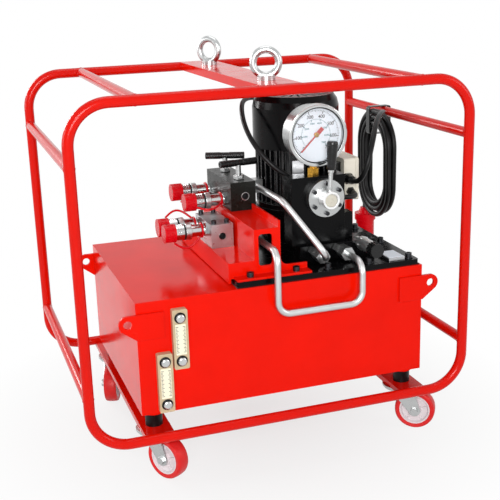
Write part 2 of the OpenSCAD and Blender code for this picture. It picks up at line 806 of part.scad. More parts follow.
module valve_flange() {
  color(zinc) translate(valve_c) rotate([90, 0, 0]) difference() {
    cylinder(h = flange_t, d = flange_d);
    translate([0, 0, -over]) cylinder(h = flange_t + 2 * over, d = valve_bore + 2 * run_gap);
    for (k = [0:5]) translate([flange_pcd / 2 * cos(60 * k + 30), flange_pcd / 2 * sin(60 * k + 30), -over])
      cylinder(h = flange_t + 2 * over, d = flange_screw + 2 * slip_gap);
  }
}

hub_d = 32;
hub_h = 22;
rod_d = 8;
grip_d = 19;
grip_l = 48;

// Lever: spindle in the block, hub with a recessed face, rod and grip
module valve_lever() {
  translate(valve_c) rotate([90, 0, 0]) {
    color(zinc) {
      translate([0, 0, -20]) cylinder(h = 20 + flange_t + 2, d = valve_bore);
      translate([0, 0, flange_t + seat_gap]) difference() {
        cylinder(h = hub_h, d = hub_d);
        translate([0, 0, hub_h - 3]) cylinder(h = 3 + over, d = hub_d - 9);
      }
      translate([0, 0, flange_t + hub_h / 2]) rotate([-90, 0, -4])
        cylinder(h = lever_l - grip_l + 2, d = rod_d);
    }
    color(black) translate([0, 0, flange_t + hub_h / 2]) rotate([-90, 0, -4])
      translate([0, 0, lever_l - grip_l + 2]) {
        cylinder(h = grip_l - grip_d / 2, d1 = 0.8 * grip_d, d2 = grip_d);
        translate([0, 0, grip_l - grip_d / 2]) sphere(d = grip_d);
      }
  }
}

// Pressure gauge

gauge_stem_h = 22;
gauge_y = block_y0 + 22;
gauge_c = [stack_x, gauge_y - 24, block_top + gauge_stem_h + gauge_d / 2];
bezel_w = 4;
dial_recess = 12;
dial_t = 1.5;
arbor_d = 3;

module gauge_case() {
  color(zinc) translate(gauge_c) rotate([-90, 0, 0]) difference() {
    union() {
      cylinder(h = gauge_depth, d = gauge_d);
      cylinder(h = dial_recess, d = gauge_d + 2 * bezel_w);
    }
    translate([0, 0, -over]) cylinder(h = dial_recess + over, d = gauge_d - 4);
    translate([0, 0, dial_recess - over]) cylinder(h = 8, d = arbor_d + 2 * run_gap);
  }
}
module gauge_dial() {
  color("white") translate(gauge_c) rotate([-90, 0, 0])
    translate([0, 0, dial_recess - dial_t]) difference() {
      cylinder(h = dial_t, d = gauge_d - 4 - 2 * seat_gap);
      translate([0, 0, -over]) cylinder(h = dial_t + 2 * over, d = arbor_d + 2 * run_gap);
    }
}

// Pointer at zero, down to the left, with its arbor and its square tail
module gauge_pointer() {
  color("#c21418") translate(gauge_c) rotate([-90, 0, 0]) {
    translate([0, 0, dial_recess - 5]) cylinder(h = 11, d = arbor_d);
    translate([0, 0, dial_recess - 5]) cylinder(h = 2.5, d = 9);
    translate([0, 0, dial_recess - 5]) rotate(135) {
      translate([0, -1.2, 0]) cube([gauge_d / 2 - 10, 2.4, 1.2]);
      translate([-14, -3, 0]) cube([14, 6, 1.2]);
    }
  }
}
module gauge_stem() {
  color(brass) translate([stack_x, gauge_y, block_top]) {
    translate([0, 0, -10]) cylinder(h = 11, d = stub_d);
    cylinder(h = 12, d = 22, $fn = 6);
    difference() {
      cylinder(h = gauge_stem_h + 6, d = 14);
      translate([0, gauge_c.y - gauge_y - over, gauge_c.z - block_top]) rotate([-90, 0, 0])
        cylinder(h = gauge_depth + 2 * over, d = gauge_d + 2 * seat_gap);
    }
  }
}

// Relief valve and its adjusting knob

stub_d = 14;
relief_hex = 26;
relief_body_d = 24;
relief_l = 44;
knob_d = 26;
knob_h = 20;

module relief_valve_body() {
  color(zinc) translate(relief_c) rotate([90, 0, 0]) {
    translate([0, 0, -20]) cylinder(h = 21, d = stub_d);
    cylinder(h = 10, d = relief_hex, $fn = 6);
    cylinder(h = relief_l, d = relief_body_d);
    cylinder(h = relief_l + knob_h - 6, d = 10);
  }
}
module relief_knob() {
  color(black) translate(relief_c) rotate([90, 0, 0]) translate([0, 0, relief_l + seat_gap])
    difference() {
      linear_extrude(knob_h) difference() {
        circle(d = knob_d);
        for (k = [0:15]) rotate(22.5 * k) translate([knob_d / 2 + 0.6, 0]) circle(1.6);
      }
      translate([0, 0, -over]) cylinder(h = knob_h - 5 + over, d = 10 + 2 * run_gap);
    }
}

// Outlet bracket: a stepped sheet with a slotted front and a foot on the cover plate

bracket_y0 = cover_y0 + 24;
low_z = cover_top + low_shelf_h;
high_z = cover_top + high_shelf_h;
low_x0 = cover_x0 - 7;
high_x0 = low_x0 + low_shelf_w;
high_x1 = high_x0 + high_shelf_w;
foot_x1 = high_x1 + 49;
foot_h2 = 14;
foot_fillet = 14;
foot_flange = 22;
foot_screws = [[cover_x0 + 28, bracket_y0 - 11], [foot_x1 - 25, bracket_y0 - 11]];
slot = [25, 56];
riser_hole = 26;
lip_h = 12;

module bracket_front() {
  difference() {
    union() {
      translate([low_x0, low_z - low_shelf_h]) square([low_shelf_w + over, low_shelf_h]);
      translate([high_x0, cover_top]) square([high_shelf_w, high_shelf_h]);
      translate([high_x1 - over, cover_top]) square([foot_x1 - high_x1 + over, foot_h2]);
      translate([high_x1 - over, cover_top + foot_h2 - over])
        square([foot_fillet + over, foot_fillet + over]);
    }
    translate([high_x1 + foot_fillet, cover_top + foot_h2 + foot_fillet]) circle(foot_fillet);
    translate([high_x0 + 8, high_z - bracket_t - 5 - slot.y]) round_plate(slot, 6);
  }
}

module outlet_bracket() {
  color(red) difference() {
    union() {
      translate([0, bracket_y0 + bracket_t, 0]) rotate([90, 0, 0])
        linear_extrude(bracket_t) bracket_front();
      translate([low_x0, bracket_y0, low_z - bracket_t])
        cube([low_shelf_w + bracket_t, bracket_d, bracket_t]);
      translate([low_x0, bracket_y0, cover_z]) cube([bracket_t, bracket_d, low_z - cover_z]);
      translate([high_x0, bracket_y0, low_z - bracket_t])
        cube([bracket_t, bracket_d, high_z - low_z + bracket_t]);
      translate([high_x0, bracket_y0, high_z - bracket_t])
        cube([high_shelf_w, bracket_d, bracket_t]);
      translate([high_x1 - bracket_t, bracket_y0, high_z - bracket_t])
        cube([bracket_t, shutoff_y0 - bracket_y0 - 4, bracket_t + lip_h]);
      translate([high_x0, bracket_y0 + bracket_d - bracket_t, cover_top])
        cube([high_shelf_w, bracket_t, high_shelf_h]);
      translate([cover_x0 + 2, bracket_y0 - foot_flange, cover_top])
        cube([foot_x1 - cover_x0 - 2, foot_flange + over, bracket_t]);
    }
    translate([high_x0 - over, return_port.y, return_port.z]) rotate([0, 90, 0])
      cylinder(h = bracket_t + 2 * over, d = riser_hole);
    for (p = foot_screws) translate([p.x, p.y, cover_top - over])
      cylinder(h = bracket_t + 2 * over, d = cover_thread + 2 * slip_gap);
  }
}

// Outlet blocks on the shelves

shutoff_x0 = high_x0 + 6;
shutoff_y0 = bracket_y0 + 140;
return_x0 = low_x0 + 2;
return_y0 = bracket_y0 + 101;
return_screw_y = [return_y0 + 12, return_y0 + return_l - 7];
port_d = 13;
t_stem_d = 10;
t_front_y = shutoff_y0 + 28;
t_rear_y = t_front_y + 80;
t_x = shutoff_x0 + shutoff_size.x / 2 + 1;
t_z = high_z + shutoff_size.y + 31;
shutoff_top = high_z + shutoff_size.y;

coupler_stub = 10;
upper_couplers = [[shutoff_x0, shutoff_y0 + 36, high_z + 17], [shutoff_x0, shutoff_y0 + 130, high_z + 17]];
lower_couplers = [[return_x0, return_y0 + 33, low_z + 28], [return_x0, return_y0 + 80, low_z + 28]];
couplers = concat(upper_couplers, lower_couplers);

module coupler_ports() {
  for (p = couplers) translate([p.x - over, p.y, p.z]) rotate([0, 90, 0])
    cylinder(h = coupler_stub + 2 + over, d = stub_d + 2 * run_gap);
}

module shutoff_block() {
  color("#2a2a28") difference() {
    translate([shutoff_x0, shutoff_y0, high_z]) cube([shutoff_size.x, shutoff_l, shutoff_size.y]);
    coupler_ports();
    translate([shutoff_x0 + 0.58 * shutoff_size.x, shutoff_y0 - over, high_z + 26]) rotate([-90, 0, 0])
      cylinder(h = 16 + over, d = port_d);
    for (y = [t_front_y, t_rear_y]) translate([t_x, y, shutoff_top - 20])
      cylinder(h = 20 + over, d = t_stem_d + 2 * run_gap);
  }
}
module return_block() {
  color(grey) difference() {
    translate([return_x0, return_y0, low_z]) cube([return_size.x, return_l, return_size.y]);
    coupler_ports();
    translate([return_x0 + return_size.x / 2, return_y0 - over, low_z + 21]) rotate([-90, 0, 0])
      cylinder(h = 16 + over, d = port_d);
    for (dx = [-12, 12]) for (y = return_screw_y)
      translate([return_x0 + return_size.x / 2 + dx, y, low_z + over])
        cylinder(h = return_size.y, d = 6 + 2 * slip_gap);
  }
}

// Pipework: union nuts at the ports, bent steel pipes to the two outlet blocks

nut_hex = 24;
nut_l = 20;
ring_l = 14;
pipe_out = ring_l + nut_l;
pipe_bend = 22;
return_nut_l = 5;
pipe_front_y = tank_y0 - pipe_d / 2 - 14;
elbow_size = 24;
elbow_at = [shutoff_x0 + shutoff_size.x, shutoff_y0 + 28, high_z + 36];
pipe_a = [
  [port_a.x, port_a.y - pipe_out, port_a.z],
  [port_a.x, port_a.y - pipe_out - 36, port_a.z],
  [elbow_at.x + elbow_size / 2, port_y0 - 12, elbow_at.z],
  [elbow_at.x + elbow_size / 2, elbow_at.y, elbow_at.z]
];
return_port = [return_x0 + return_size.x, return_y0 + 50, low_z + 24];
loop_x = return_port.x + return_nut_l + pipe_bend + 1;
loop_z = tank_top - 48;
pipe_b = [
  [port_b.x, port_b.y - pipe_out, port_b.z],
  [port_b.x, pipe_front_y, port_b.z],
  [port_b.x, pipe_front_y, loop_z],
  [loop_x, pipe_front_y, loop_z],
  [loop_x, pipe_front_y, return_port.z],
  [loop_x, return_port.y, return_port.z],
  [return_port.x + return_nut_l, return_port.y, return_port.z]
];

module port_fitting(p) {
  translate(p) rotate([90, 0, 0]) {
    translate([0, 0, -20]) cylinder(h = 21, d = stub_d);
    cylinder(h = ring_l - 2, d = nut_hex, $fn = 6);
    translate([0, 0, ring_l - 3]) cylinder(h = 4, d = nut_hex - 8);
    translate([0, 0, ring_l]) cylinder(h = nut_l, d = nut_hex + 2, $fn = 6);
  }
}
module pipe_fittings() {
  color(zinc) {
    port_fitting(port_a);
    port_fitting(port_b);
    translate([elbow_at.x, elbow_at.y, elbow_at.z - elbow_size / 2])
      cube([elbow_size, elbow_size, elbow_size]);
    translate(return_port) rotate([0, 90, 0]) cylinder(h = return_nut_l, d = 20, $fn = 6);
  }
}
module pressure_pipes() {
  color(zinc) {
    tube_along(rounded(pipe_a, pipe_bend, 8), pipe_d, 24);
    bent_bar(pipe_b, pipe_d, pipe_bend);
  }
}

// T-handle: spindle, gland hex and a knurled cross bar
module t_handle(y, turn) {
  translate([t_x, y, shutoff_top]) {
    color(zinc) {
      translate([0, 0, -16]) cylinder(h = 16 + t_z - shutoff_top, d = t_stem_d);
      translate([0, 0, seat_gap]) cylinder(h = 8, d = 20, $fn = 6);
    }
    color(black) translate([0, 0, t_z - shutoff_top]) rotate([0, 90, turn]) difference() {
      cylinder(h = t_bar_l, d = t_bar_d, center = true);
      for (s = [-1, 1]) translate([0, 0, s * (t_bar_l / 2)]) cylinder(h = 6, d = 5, center = true);
    }
  }
}
module t_handle_front() { t_handle(t_front_y, 8); }
module t_handle_rear() { t_handle(t_rear_y, -22); }

// Quick couplers along -X, each with a nose that its dust cap covers

neck_l = 12;
body_l = 18;
sleeve_l = 28;
nose_l = 18;
nose_d = coupler_d - 4;
cap_gap = 0.4;
cap_t = 3;
coupler_l = neck_l + body_l + sleeve_l;

module coupler() {
  rotate([0, -90, 0]) {
    translate([0, 0, -coupler_stub]) cylinder(h = coupler_stub + 1, d = stub_d);
    cylinder(h = 5, d = coupler_d - 4, $fn = 6);
    cylinder(h = neck_l, d = coupler_d - 10);
    translate([0, 0, neck_l]) cylinder(h = body_l, d = coupler_d - 6);
    translate([0, 0, neck_l + body_l]) difference() {
      cylinder(h = sleeve_l, d = coupler_d);
      for (z = [6, 11]) translate([0, 0, z]) rotate_extrude()
        translate([coupler_d / 2, 0]) circle(1);
    }
    translate([0, 0, coupler_l]) cylinder(h = nose_l, d = nose_d);
  }
}
module coupler_bodies() { color(zinc) for (p = couplers) translate(p) coupler(); }

module dust_cap(i) {
  color(red) translate(couplers[i]) rotate([0, -90, 0]) translate([0, 0, coupler_l + cap_gap])
    difference() {
      union() {
        cylinder(h = nose_l + cap_t, d = cap_d - 2);
        cylinder(h = 5, d = cap_d);
        translate([0, 0, nose_l + cap_t - 5]) cylinder(h = 5, d = cap_d);
      }
      translate([0, 0, -over]) cylinder(h = nose_l + over, d = nose_d + 2 * cap_gap);
    }
}

strap_d = 4;
ring_z = neck_l - 4;
lanyard_turn = [110, 180, 180, -35];

// A lanyard: a ring round the neck and a strap that bows out to the cap, up at no turn
module lanyard(turn) {
  rotate([turn, 0, 0]) rotate([0, -90, 0]) {
    translate([0, 0, ring_z]) difference() {
      cylinder(h = 3.5, d = coupler_d);
      translate([0, 0, -over]) cylinder(h = 6, d = coupler_d - 10 + 2 * seat_gap);
    }
    reach = coupler_l + 2 - ring_z - 3;
    tube_along([for (k = [0:10])
      [coupler_d / 2 - 2 + ((cap_d - coupler_d) / 2 + 4.2) * k / 10 + 15 * sin(18 * k), 0,
       ring_z + 3.5 + reach * k / 10]], strap_d, 8);
  }
}
module cap_lanyards() {
  color(red) for (i = [0:3]) translate(couplers[i]) lanyard(lanyard_turn[i]);
}

// Power cord: a lead from its gland to the hank, the hank on the right upper tube, its plug

hank_c = [side_x - 29, 58, hoop_z + upper_cross_h - 105];
hank_run = 38;
hank_r = 70;
hank_pitch = 12;
hank_step = 11.5;
turn_back = 2.5;
ring_count = 24;
plug_top = hank_c.z - 103;

// Radius of the hank's winding after t turns: in on the first layer, out on the second
function hank_radius(t) = hank_r - hank_pitch * (t < turn_back ? t : turn_back)
  + hank_pitch * max(0, t - turn_back - 0.5);
function hank_layer(t) = hank_step * min(1, max(0, (t - turn_back) / 0.5));

// Place on a loop with round ends: a is 0 to 24 from the top, down the rear and up the front
function loop_y(a) = a < 5 ? sin(18 * a) : a < 7 ? 1 : a < 17 ? sin(90 + 18 * (a - 7)) :
  a < 19 ? -1 : sin(270 + 18 * (a - 19));
function loop_arc(a) = a < 5 ? cos(18 * a) : a < 7 ? 0 : a < 17 ? cos(90 + 18 * (a - 7)) :
  a < 19 ? 0 : cos(270 + 18 * (a - 19));
function loop_run(a) = a < 5 ? 1 : a < 7 ? 6 - a : a < 17 ? -1 : a < 19 ? a - 18 : 1;
function hank_point(t) = let (a = ring_count * (t - floor(t)), r = hank_radius(t)) hank_c
  + [hank_layer(t), r * loop_y(a), r * loop_arc(a) + hank_run * loop_run(a)];

hank_in = [hank_c.x, hank_c.y - 16, hank_point(0).z];
cord_rise = [[0, 0, 0], [0, -8, 0], [0.5, -28, 5.4], [3, -42.6, 20], [8, -48, 40], [16, -43.5, 61]];
cord_fall = [
  [-75, -130, -26], [-60, -108, -8.5], [-44, -85, 1.5], [-26, -61, 5.6], [-9.4, -37.6, 5.3],
  [-4.8, -27.4, 3], [-1.2, -13.9, 1], [0, 0, 0], [0, 5.8, 0]
];
cord_route = concat([for (p = cord_rise) cord_exit + p], [for (p = cord_fall) hank_in + p]);

// The motor's lead rises from its own box, falls round the motor and passes behind the valve
lead_bends = [
  [-27, 105, 155], [-31, 101.5, 175], [-42, 91.8, 189.6], [-57, 78.6, 195], [-77, 59, 196],
  [-93, 34, 191], [-104, 4, 178], [-109, -26, 159], [-107, -53, 138], [-96, -74, 114],
  [-77, -87, 91], [-51, -93, 72], [-20, -92, 57], [12, -90.5, 43], [37, -92.4, 31],
  [46.7, -95.8, 26.5], [56, -97, 24], [74, -92.2, 21.5], [87.2, -79, 21], [92, -61, 21]
];
lead_route = concat(
  [lead_from], [for (p = lead_bends) [motor_x, motor_y, bell_top] + p], [lead_to]
);

hank_last = round(hank_turns * ring_count);
hank_end = hank_point(hank_last / ring_count);
hank_route = concat(
  [[hank_c.x, hank_c.y - cord_d, hank_point(0).z]],
  [for (k = [0:hank_last]) hank_point(k / ring_count)],
  [for (f = [0.35, 0.7, 1]) [hank_end.x, hank_end.y, hank_end.z + f * (plug_top - hank_end.z)]]
);
hank_fine = [for (k = [0:3 * hank_last]) hank_point(k / ring_count / 3)];
hank_gap = min([for (i = [0:len(hank_fine) - 1]) for (j = [i + 20:1:len(hank_fine) - 1])
  norm(hank_fine[i] - hank_fine[j])]) - cord_d;
echo(least_gap_between_hank_turns = hank_gap);

module power_cord_lead() { color(rubber) tube_along(cord_route, cord_d, 10); }
module power_cord_hank() { color(rubber) tube_along(hank_route, cord_d, 6); }
module motor_lead() { color(rubber) tube_along(lead_route, lead_d, 10); }

plug_d = 38;
plug_ring_d = 44;

module power_plug() {
  color(red) translate([hank_end.x, hank_end.y, plug_top]) mirror([0, 0, 1]) difference() {
    union() {
      cylinder(h = 13, d1 = 2 * cord_d, d2 = 3 * cord_d);
      translate([0, 0, 12]) cylinder(h = 14, d = plug_ring_d);
      translate([0, 0, 25]) cylinder(h = 35, d = plug_d);
    }
    translate([0, 0, 30]) cylinder(h = 40, d = plug_d - 5);
  }
}

tie_t = 1.6;
tie_w = 14;
tie_y = hank_c.y + 17;

// A strap round the tube and the top of the hank's turns
module cord_tie() {
  x0 = hank_c.x - cord_d / 2 - 1;
  x1 = side_x + tube_d / 2 + 0.5;
  z0 = hank_c.z + hank_run + 24;
  z1 = upper_z + tube_d / 2 + 0.5;
  color(black) translate([x0 - tie_t, tie_y + tie_w / 2, z0 - tie_t]) rotate([90, 0, 0])
    linear_extrude(tie_w) difference() {
      round_plate([x1 - x0 + 2 * tie_t, z1 - z0 + 2 * tie_t], 5);
      translate([tie_t, tie_t]) round_plate([x1 - x0, z1 - z0], 3.5);
    }
}

front_hoop();
rear_hoop();
cross_members();
lifting_bar();
lifting_eyes();
rubber_feet();
tank_shell();
tie_down_ears();
level_gauge_frames();
level_gauge_tubes();
hex_bolts();
cover_gasket();
cover_plate();
socket_screws();
motor_bell();
motor_frame();
fan_cowl();
terminal_box();
cable_glands();
junction_box();
port_block();
valve_block();
valve_flange();
gauge_case();
gauge_dial();
gauge_stem();
relief_valve_body();
pipe_fittings();
pressure_pipes();
outlet_bracket();
shutoff_block();
return_block();
coupler_bodies();
cap_lanyards();
castor_heads();
pump_housing();
pump_pistons();
power_cord_lead();
power_cord_hank();
power_plug();
cord_tie();
motor_lead();
castor_fork(0);  // castor_fork_front_left
castor_fork(1);  // castor_fork_front_right
castor_fork(2);  // castor_fork_rear_left
castor_fork(3);  // castor_fork_rear_right
castor_wheel(0);  // castor_wheel_front_left
castor_wheel(1);  // castor_wheel_front_right
castor_wheel(2);  // castor_wheel_rear_left
castor_wheel(3);  // castor_wheel_rear_right
valve_lever();
t_handle_front();
t_handle_rear();
relief_knob();
gauge_pointer();
motor_rotor();
dust_cap(0);  // dust_cap_upper_front
dust_cap(1);  // dust_cap_upper_rear
dust_cap(2);  // dust_cap_lower_front
dust_cap(3);  // dust_cap_lower_rear
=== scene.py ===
"""Dresses a caged hydraulic power unit: cords, soft straps, print, wheels and finishes around its solids."""

import json
import logging
import math
from dataclasses import dataclass, field
from enum import Enum
from typing import Callable, Iterable, Sequence

import bpy
from mathutils import Matrix, Vector

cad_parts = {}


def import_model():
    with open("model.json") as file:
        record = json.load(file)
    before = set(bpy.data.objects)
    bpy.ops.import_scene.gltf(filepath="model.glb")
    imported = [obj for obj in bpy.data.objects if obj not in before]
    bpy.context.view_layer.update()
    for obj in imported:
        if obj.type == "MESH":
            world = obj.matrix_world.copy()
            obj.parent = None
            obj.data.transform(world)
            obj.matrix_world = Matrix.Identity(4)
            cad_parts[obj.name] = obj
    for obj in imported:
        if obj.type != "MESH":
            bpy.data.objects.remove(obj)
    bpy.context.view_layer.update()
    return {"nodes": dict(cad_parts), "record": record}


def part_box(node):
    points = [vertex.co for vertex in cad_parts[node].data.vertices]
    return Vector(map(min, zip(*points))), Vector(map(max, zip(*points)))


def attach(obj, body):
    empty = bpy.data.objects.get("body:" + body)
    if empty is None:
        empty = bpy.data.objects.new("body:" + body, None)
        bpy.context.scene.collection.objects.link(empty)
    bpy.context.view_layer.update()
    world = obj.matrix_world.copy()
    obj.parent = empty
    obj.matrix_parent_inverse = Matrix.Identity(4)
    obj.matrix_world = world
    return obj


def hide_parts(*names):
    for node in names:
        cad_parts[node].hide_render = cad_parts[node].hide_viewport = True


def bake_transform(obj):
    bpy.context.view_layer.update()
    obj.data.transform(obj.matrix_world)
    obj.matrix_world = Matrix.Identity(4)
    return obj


LOG = logging.getLogger("scene")
MM = 0.001
INK_T = 0.06  # Print stands this far proud in millimetres, thicker than real ink, so that it shows.
INK_CORNER = 0.15  # Corner radius of a printed mark in millimetres.

Point = tuple[float, float, float]
Profile = Sequence[tuple[float, float]]


class Body(str, Enum):
    """Rigid bodies of the frame that pieces ride on."""

    BASE = "base"
    LEVER = "lever"
    FRONT_T = "t_handle_front"
    REAR_T = "t_handle_rear"


class Axis(Enum):
    """Turns that lay a lathe's own +Z along a frame direction."""

    UP = Matrix.Identity(4)
    FRONT = Matrix.Rotation(math.radians(90), 4, "X")
    LEFT = Matrix.Rotation(math.radians(-90), 4, "Y")
    RIGHT = Matrix.Rotation(math.radians(90), 4, "Y")
    DOWN = Matrix.Rotation(math.radians(180), 4, "X")


@dataclass(frozen=True)
class Finish:
    """How one real material looks.

    Attributes:
        colour: sRGB hex colour.
        metallic: Metallic share.
        roughness: Mean roughness.
        vary: Spread of the roughness.
        tint: Share by which the colour wanders.
        patch_mm: Size of the colour's patches.
        grain_mm: Size of the bump's grain.
        bump: Height of the bump's grain in millimetres.
        coat: Weight of a clear coat.
        edge_mm: Radius that edges are softened to.
        wear_and_highlight: Share by which edges lighten, partly rubbed and partly a painted highlight.
        stretch: Grain stretch along X, Y and Z, for milled or drawn metal.
        alpha: Share of the surface that hides what is behind it.
        sheen: Weight of a dusty sheen.
        specular: Specular level.
        ior: Index of refraction.
    """

    colour: str
    metallic: float = 0.0
    roughness: float = 0.4
    vary: float = 0.08
    tint: float = 0.05
    patch_mm: float = 30.0
    grain_mm: float = 1.2
    bump: float = 0.02
    coat: float = 0.0
    edge_mm: float = 0.8
    wear_and_highlight: float = 0.0
    stretch: Point = (1.0, 1.0, 1.0)
    alpha: float = 1.0
    sheen: float = 0.0
    specular: float = 0.5
    ior: float = 1.5


# The real grain of plated and moulded skins is finer than a pixel, so it is drawn 0.6 mm or coarser to show.
FINISHES: dict[str, Finish] = {
    # Sprayed gloss enamel: even colour, faint orange peel, edges lightened, partly rubbed and partly a
    # painted highlight.
    "red_enamel": Finish(
        "#e21302", roughness=0.16, vary=0.05, patch_mm=70, grain_mm=2.4, bump=0.008, edge_mm=1.2,
        wear_and_highlight=0.09, specular=0.09,
    ),
    # Gloss enamel on round tube: the tank's red given a deeper colour as painted shade, with a narrow bright
    # line along it.
    "red_tube_enamel": Finish(
        "#d21002", roughness=0.17, vary=0.03, patch_mm=70, grain_mm=2.4, bump=0.0, edge_mm=1.2, wear_and_highlight=0.04,
        specular=0.16,
    ),
    # Bright zinc on steel: silvery satin with cloudy patches.
    "zinc_plated_steel": Finish(
        "#b8baba", metallic=1.0, roughness=0.3, vary=0.05, patch_mm=16, grain_mm=0.6, bump=0.004,
        edge_mm=0.6, wear_and_highlight=0.08,
    ),
    # Plated drawn tube: soft long highlights on a pale grey.
    "drawn_steel_tube": Finish(
        "#c6c8c8", metallic=1.0, roughness=0.36, vary=0.05, patch_mm=24, grain_mm=0.7, bump=0.004,
        edge_mm=0.4,
    ),
    # Chrome plate: nearly a mirror, a little clouded.
    "polished_chrome": Finish(
        "#c9cbcb", metallic=1.0, roughness=0.13, vary=0.05, patch_mm=12, grain_mm=0.6, bump=0.0,
        edge_mm=0.5,
    ),
    # Moulded rubber and cord sheath: soft dull sheen.
    "moulded_rubber": Finish(
        "#09090a", tint=0.1, patch_mm=25, grain_mm=0.8, edge_mm=0.6, sheen=0.01, specular=0.2, ior=1.52,
    ),
    # Cast acrylic body: half clear, so what is behind tints it.
    "clear_acrylic": Finish(
        "#dfcca6", roughness=0.18, vary=0.06, tint=0.08, patch_mm=10, grain_mm=0.8, bump=0.006,
        edge_mm=0.6, alpha=0.7, specular=0.3, ior=1.49,
    ),
    # Sight tube with oil in it: pale gold and clear.
    "oil_filled_tube": Finish(
        "#e6d6a6", roughness=0.08, vary=0.02, patch_mm=12, grain_mm=3.0, bump=0.0, edge_mm=0.5, alpha=0.6,
        ior=1.47,
    ),
    # Sprayed gloss enamel on machined steel: deep black with faint clouded gloss.
    "black_enamel": Finish(
        "#050506", roughness=0.22, tint=0.12, patch_mm=25, grain_mm=1.4, bump=0.012, edge_mm=1.0,
        wear_and_highlight=0.08, specular=0.11,
    ),
    # Oiled black oxide: dark grey with a green cast.
    "black_oxide_steel": Finish(
        "#0f100c", roughness=0.32, tint=0.15, patch_mm=22, grain_mm=1.0, bump=0.01, edge_mm=0.6, wear_and_highlight=0.12,
        specular=0.18,
    ),
    # Painted casting: black with a grainy skin; edges lightened, a little rubbed and mostly a painted
    # highlight.
    "painted_cast_iron": Finish(
        "#050506", roughness=0.26, vary=0.09, tint=0.15, patch_mm=18, grain_mm=1.6, bump=0.04, edge_mm=0.9,
        wear_and_highlight=0.22, specular=0.16,
    ),
    # Painted casting: black with a grey gloss; its fin edges are lightened broadly as a painted highlight.
    "rubbed_cast_iron": Finish(
        "#08080a", roughness=0.2, tint=0.15, patch_mm=18, grain_mm=1.6, bump=0.03, edge_mm=2.2, wear_and_highlight=0.6,
        specular=0.42,
    ),
    # Bright nickel on turned steel: pale, with wide soft highlights.
    "bright_nickel": Finish(
        "#eceded", metallic=1.0, roughness=0.38, vary=0.06, tint=0.04, patch_mm=10, grain_mm=0.6,
        bump=0.004, edge_mm=0.5, wear_and_highlight=0.1,
    ),
    # Blackened high-tensile steel: dark metal with a dull shine on its edges.
    "blackened_screw_steel": Finish(
        "#3c3d40", metallic=1.0, roughness=0.36, tint=0.12, patch_mm=6, grain_mm=0.6, bump=0.008,
        edge_mm=0.4, wear_and_highlight=0.15,
    ),
    # Moulded polycarbonate: matt, fine spark texture.
    "grey_polycarbonate": Finish(
        "#e4dfd0", roughness=0.45, vary=0.07, patch_mm=25, grain_mm=0.9, edge_mm=1.0, ior=1.58,
    ),
    # Moulded phenolic: glossy black.
    "black_phenolic": Finish(
        "#070708", roughness=0.26, vary=0.07, tint=0.08, patch_mm=18, grain_mm=0.8, bump=0.015,
        edge_mm=0.6, specular=0.3, ior=1.6,
    ),
    # Lacquered tinplate: flat white.
    "white_printed_tin": Finish(
        "#e6eef6", roughness=0.45, vary=0.05, tint=0.015, patch_mm=25, grain_mm=1.0, bump=0.0, edge_mm=0.2,
        specular=0.2,
    ),
    # Turned brass: warm, with a satin face.
    "turned_brass": Finish(
        "#c2923a", metallic=1.0, roughness=0.27, vary=0.06, tint=0.06, patch_mm=10, grain_mm=0.8,
        bump=0.006, edge_mm=0.4, wear_and_highlight=0.1,
    ),
    # Lacquer on thin aluminium: smooth red with a thin clear gloss.
    "red_lacquer": Finish(
        "#b80d12", roughness=0.3, vary=0.05, tint=0.03, patch_mm=8, grain_mm=1.0, bump=0.0, coat=0.2,
        edge_mm=0.2,
    ),
    # Milled aluminium: lines along one direction, drawn coarser than real ones so that they show.
    "milled_aluminium": Finish(
        "#b4b5b7", metallic=1.0, roughness=0.32, vary=0.06, tint=0.025, patch_mm=12, grain_mm=0.9,
        bump=0.008, edge_mm=0.6, wear_and_highlight=0.1, stretch=(1.0, 0.06, 1.0),
    ),
    # Moulded soft polyethylene: waxy red.
    "red_polyethylene": Finish(
        "#cc0616", roughness=0.26, vary=0.06, tint=0.06, patch_mm=16, grain_mm=1.0, bump=0.01, edge_mm=0.7,
        specular=0.2, ior=1.51,
    ),
    # Cast polyurethane tread: dull red.
    "red_polyurethane": Finish("#d01a1a", roughness=0.42, tint=0.08, patch_mm=14, edge_mm=0.6, specular=0.35),
    # Moulded nylon: pale, slightly milky.
    "white_nylon": Finish(
        "#d8cfd2", roughness=0.38, vary=0.06, tint=0.04, patch_mm=12, grain_mm=0.9, bump=0.01, edge_mm=0.6,
        specular=0.4, ior=1.53,
    ),
    # Plain machined steel: grey, with a fine satin face.
    "machined_steel": Finish(
        "#9fa2a6", metallic=1.0, roughness=0.3, vary=0.07, tint=0.06, patch_mm=10, grain_mm=0.7,
        bump=0.005, edge_mm=0.4, wear_and_highlight=0.1,
    ),
    # Screen-printed ink: flat black.
    "black_ink": Finish(
        "#08080a", roughness=0.5, vary=0.04, patch_mm=6, grain_mm=1.0, bump=0.0, edge_mm=0.1, specular=0.2,
    ),
    # Screen-printed ink for the inner scale: flat blue-green.
    "teal_ink": Finish(
        "#0f6a72", roughness=0.5, vary=0.04, patch_mm=6, grain_mm=1.0, bump=0.0, edge_mm=0.1, specular=0.2,
    ),
    # Turned acetal insert: pale grey.
    "grey_acetal": Finish("#c6c2b4", vary=0.06, patch_mm=6, grain_mm=0.8, bump=0.006, edge_mm=0.2, ior=1.48),
    # Printed card behind acrylic: ivory.
    "ivory_scale_card": Finish(
        "#f1ecd2", roughness=0.22, vary=0.05, tint=0.03, patch_mm=10, grain_mm=1.0, bump=0.0, edge_mm=0.2,
        specular=0.4, ior=1.49,
    ),
    # Oily cut thread in shade: nearly black.
    "oily_thread": Finish(
        "#141416", roughness=0.5, tint=0.1, patch_mm=6, grain_mm=0.8, bump=0.01, edge_mm=0.2, specular=0.3,
    ),
    # Flat instrument glass: only its gloss shows.
    "clear_lens": Finish(
        "#ffffff", roughness=0.03, vary=0.01, tint=0.0, patch_mm=20, grain_mm=4.0, bump=0.0, edge_mm=0.3,
        alpha=0.06, ior=1.52,
    ),
}
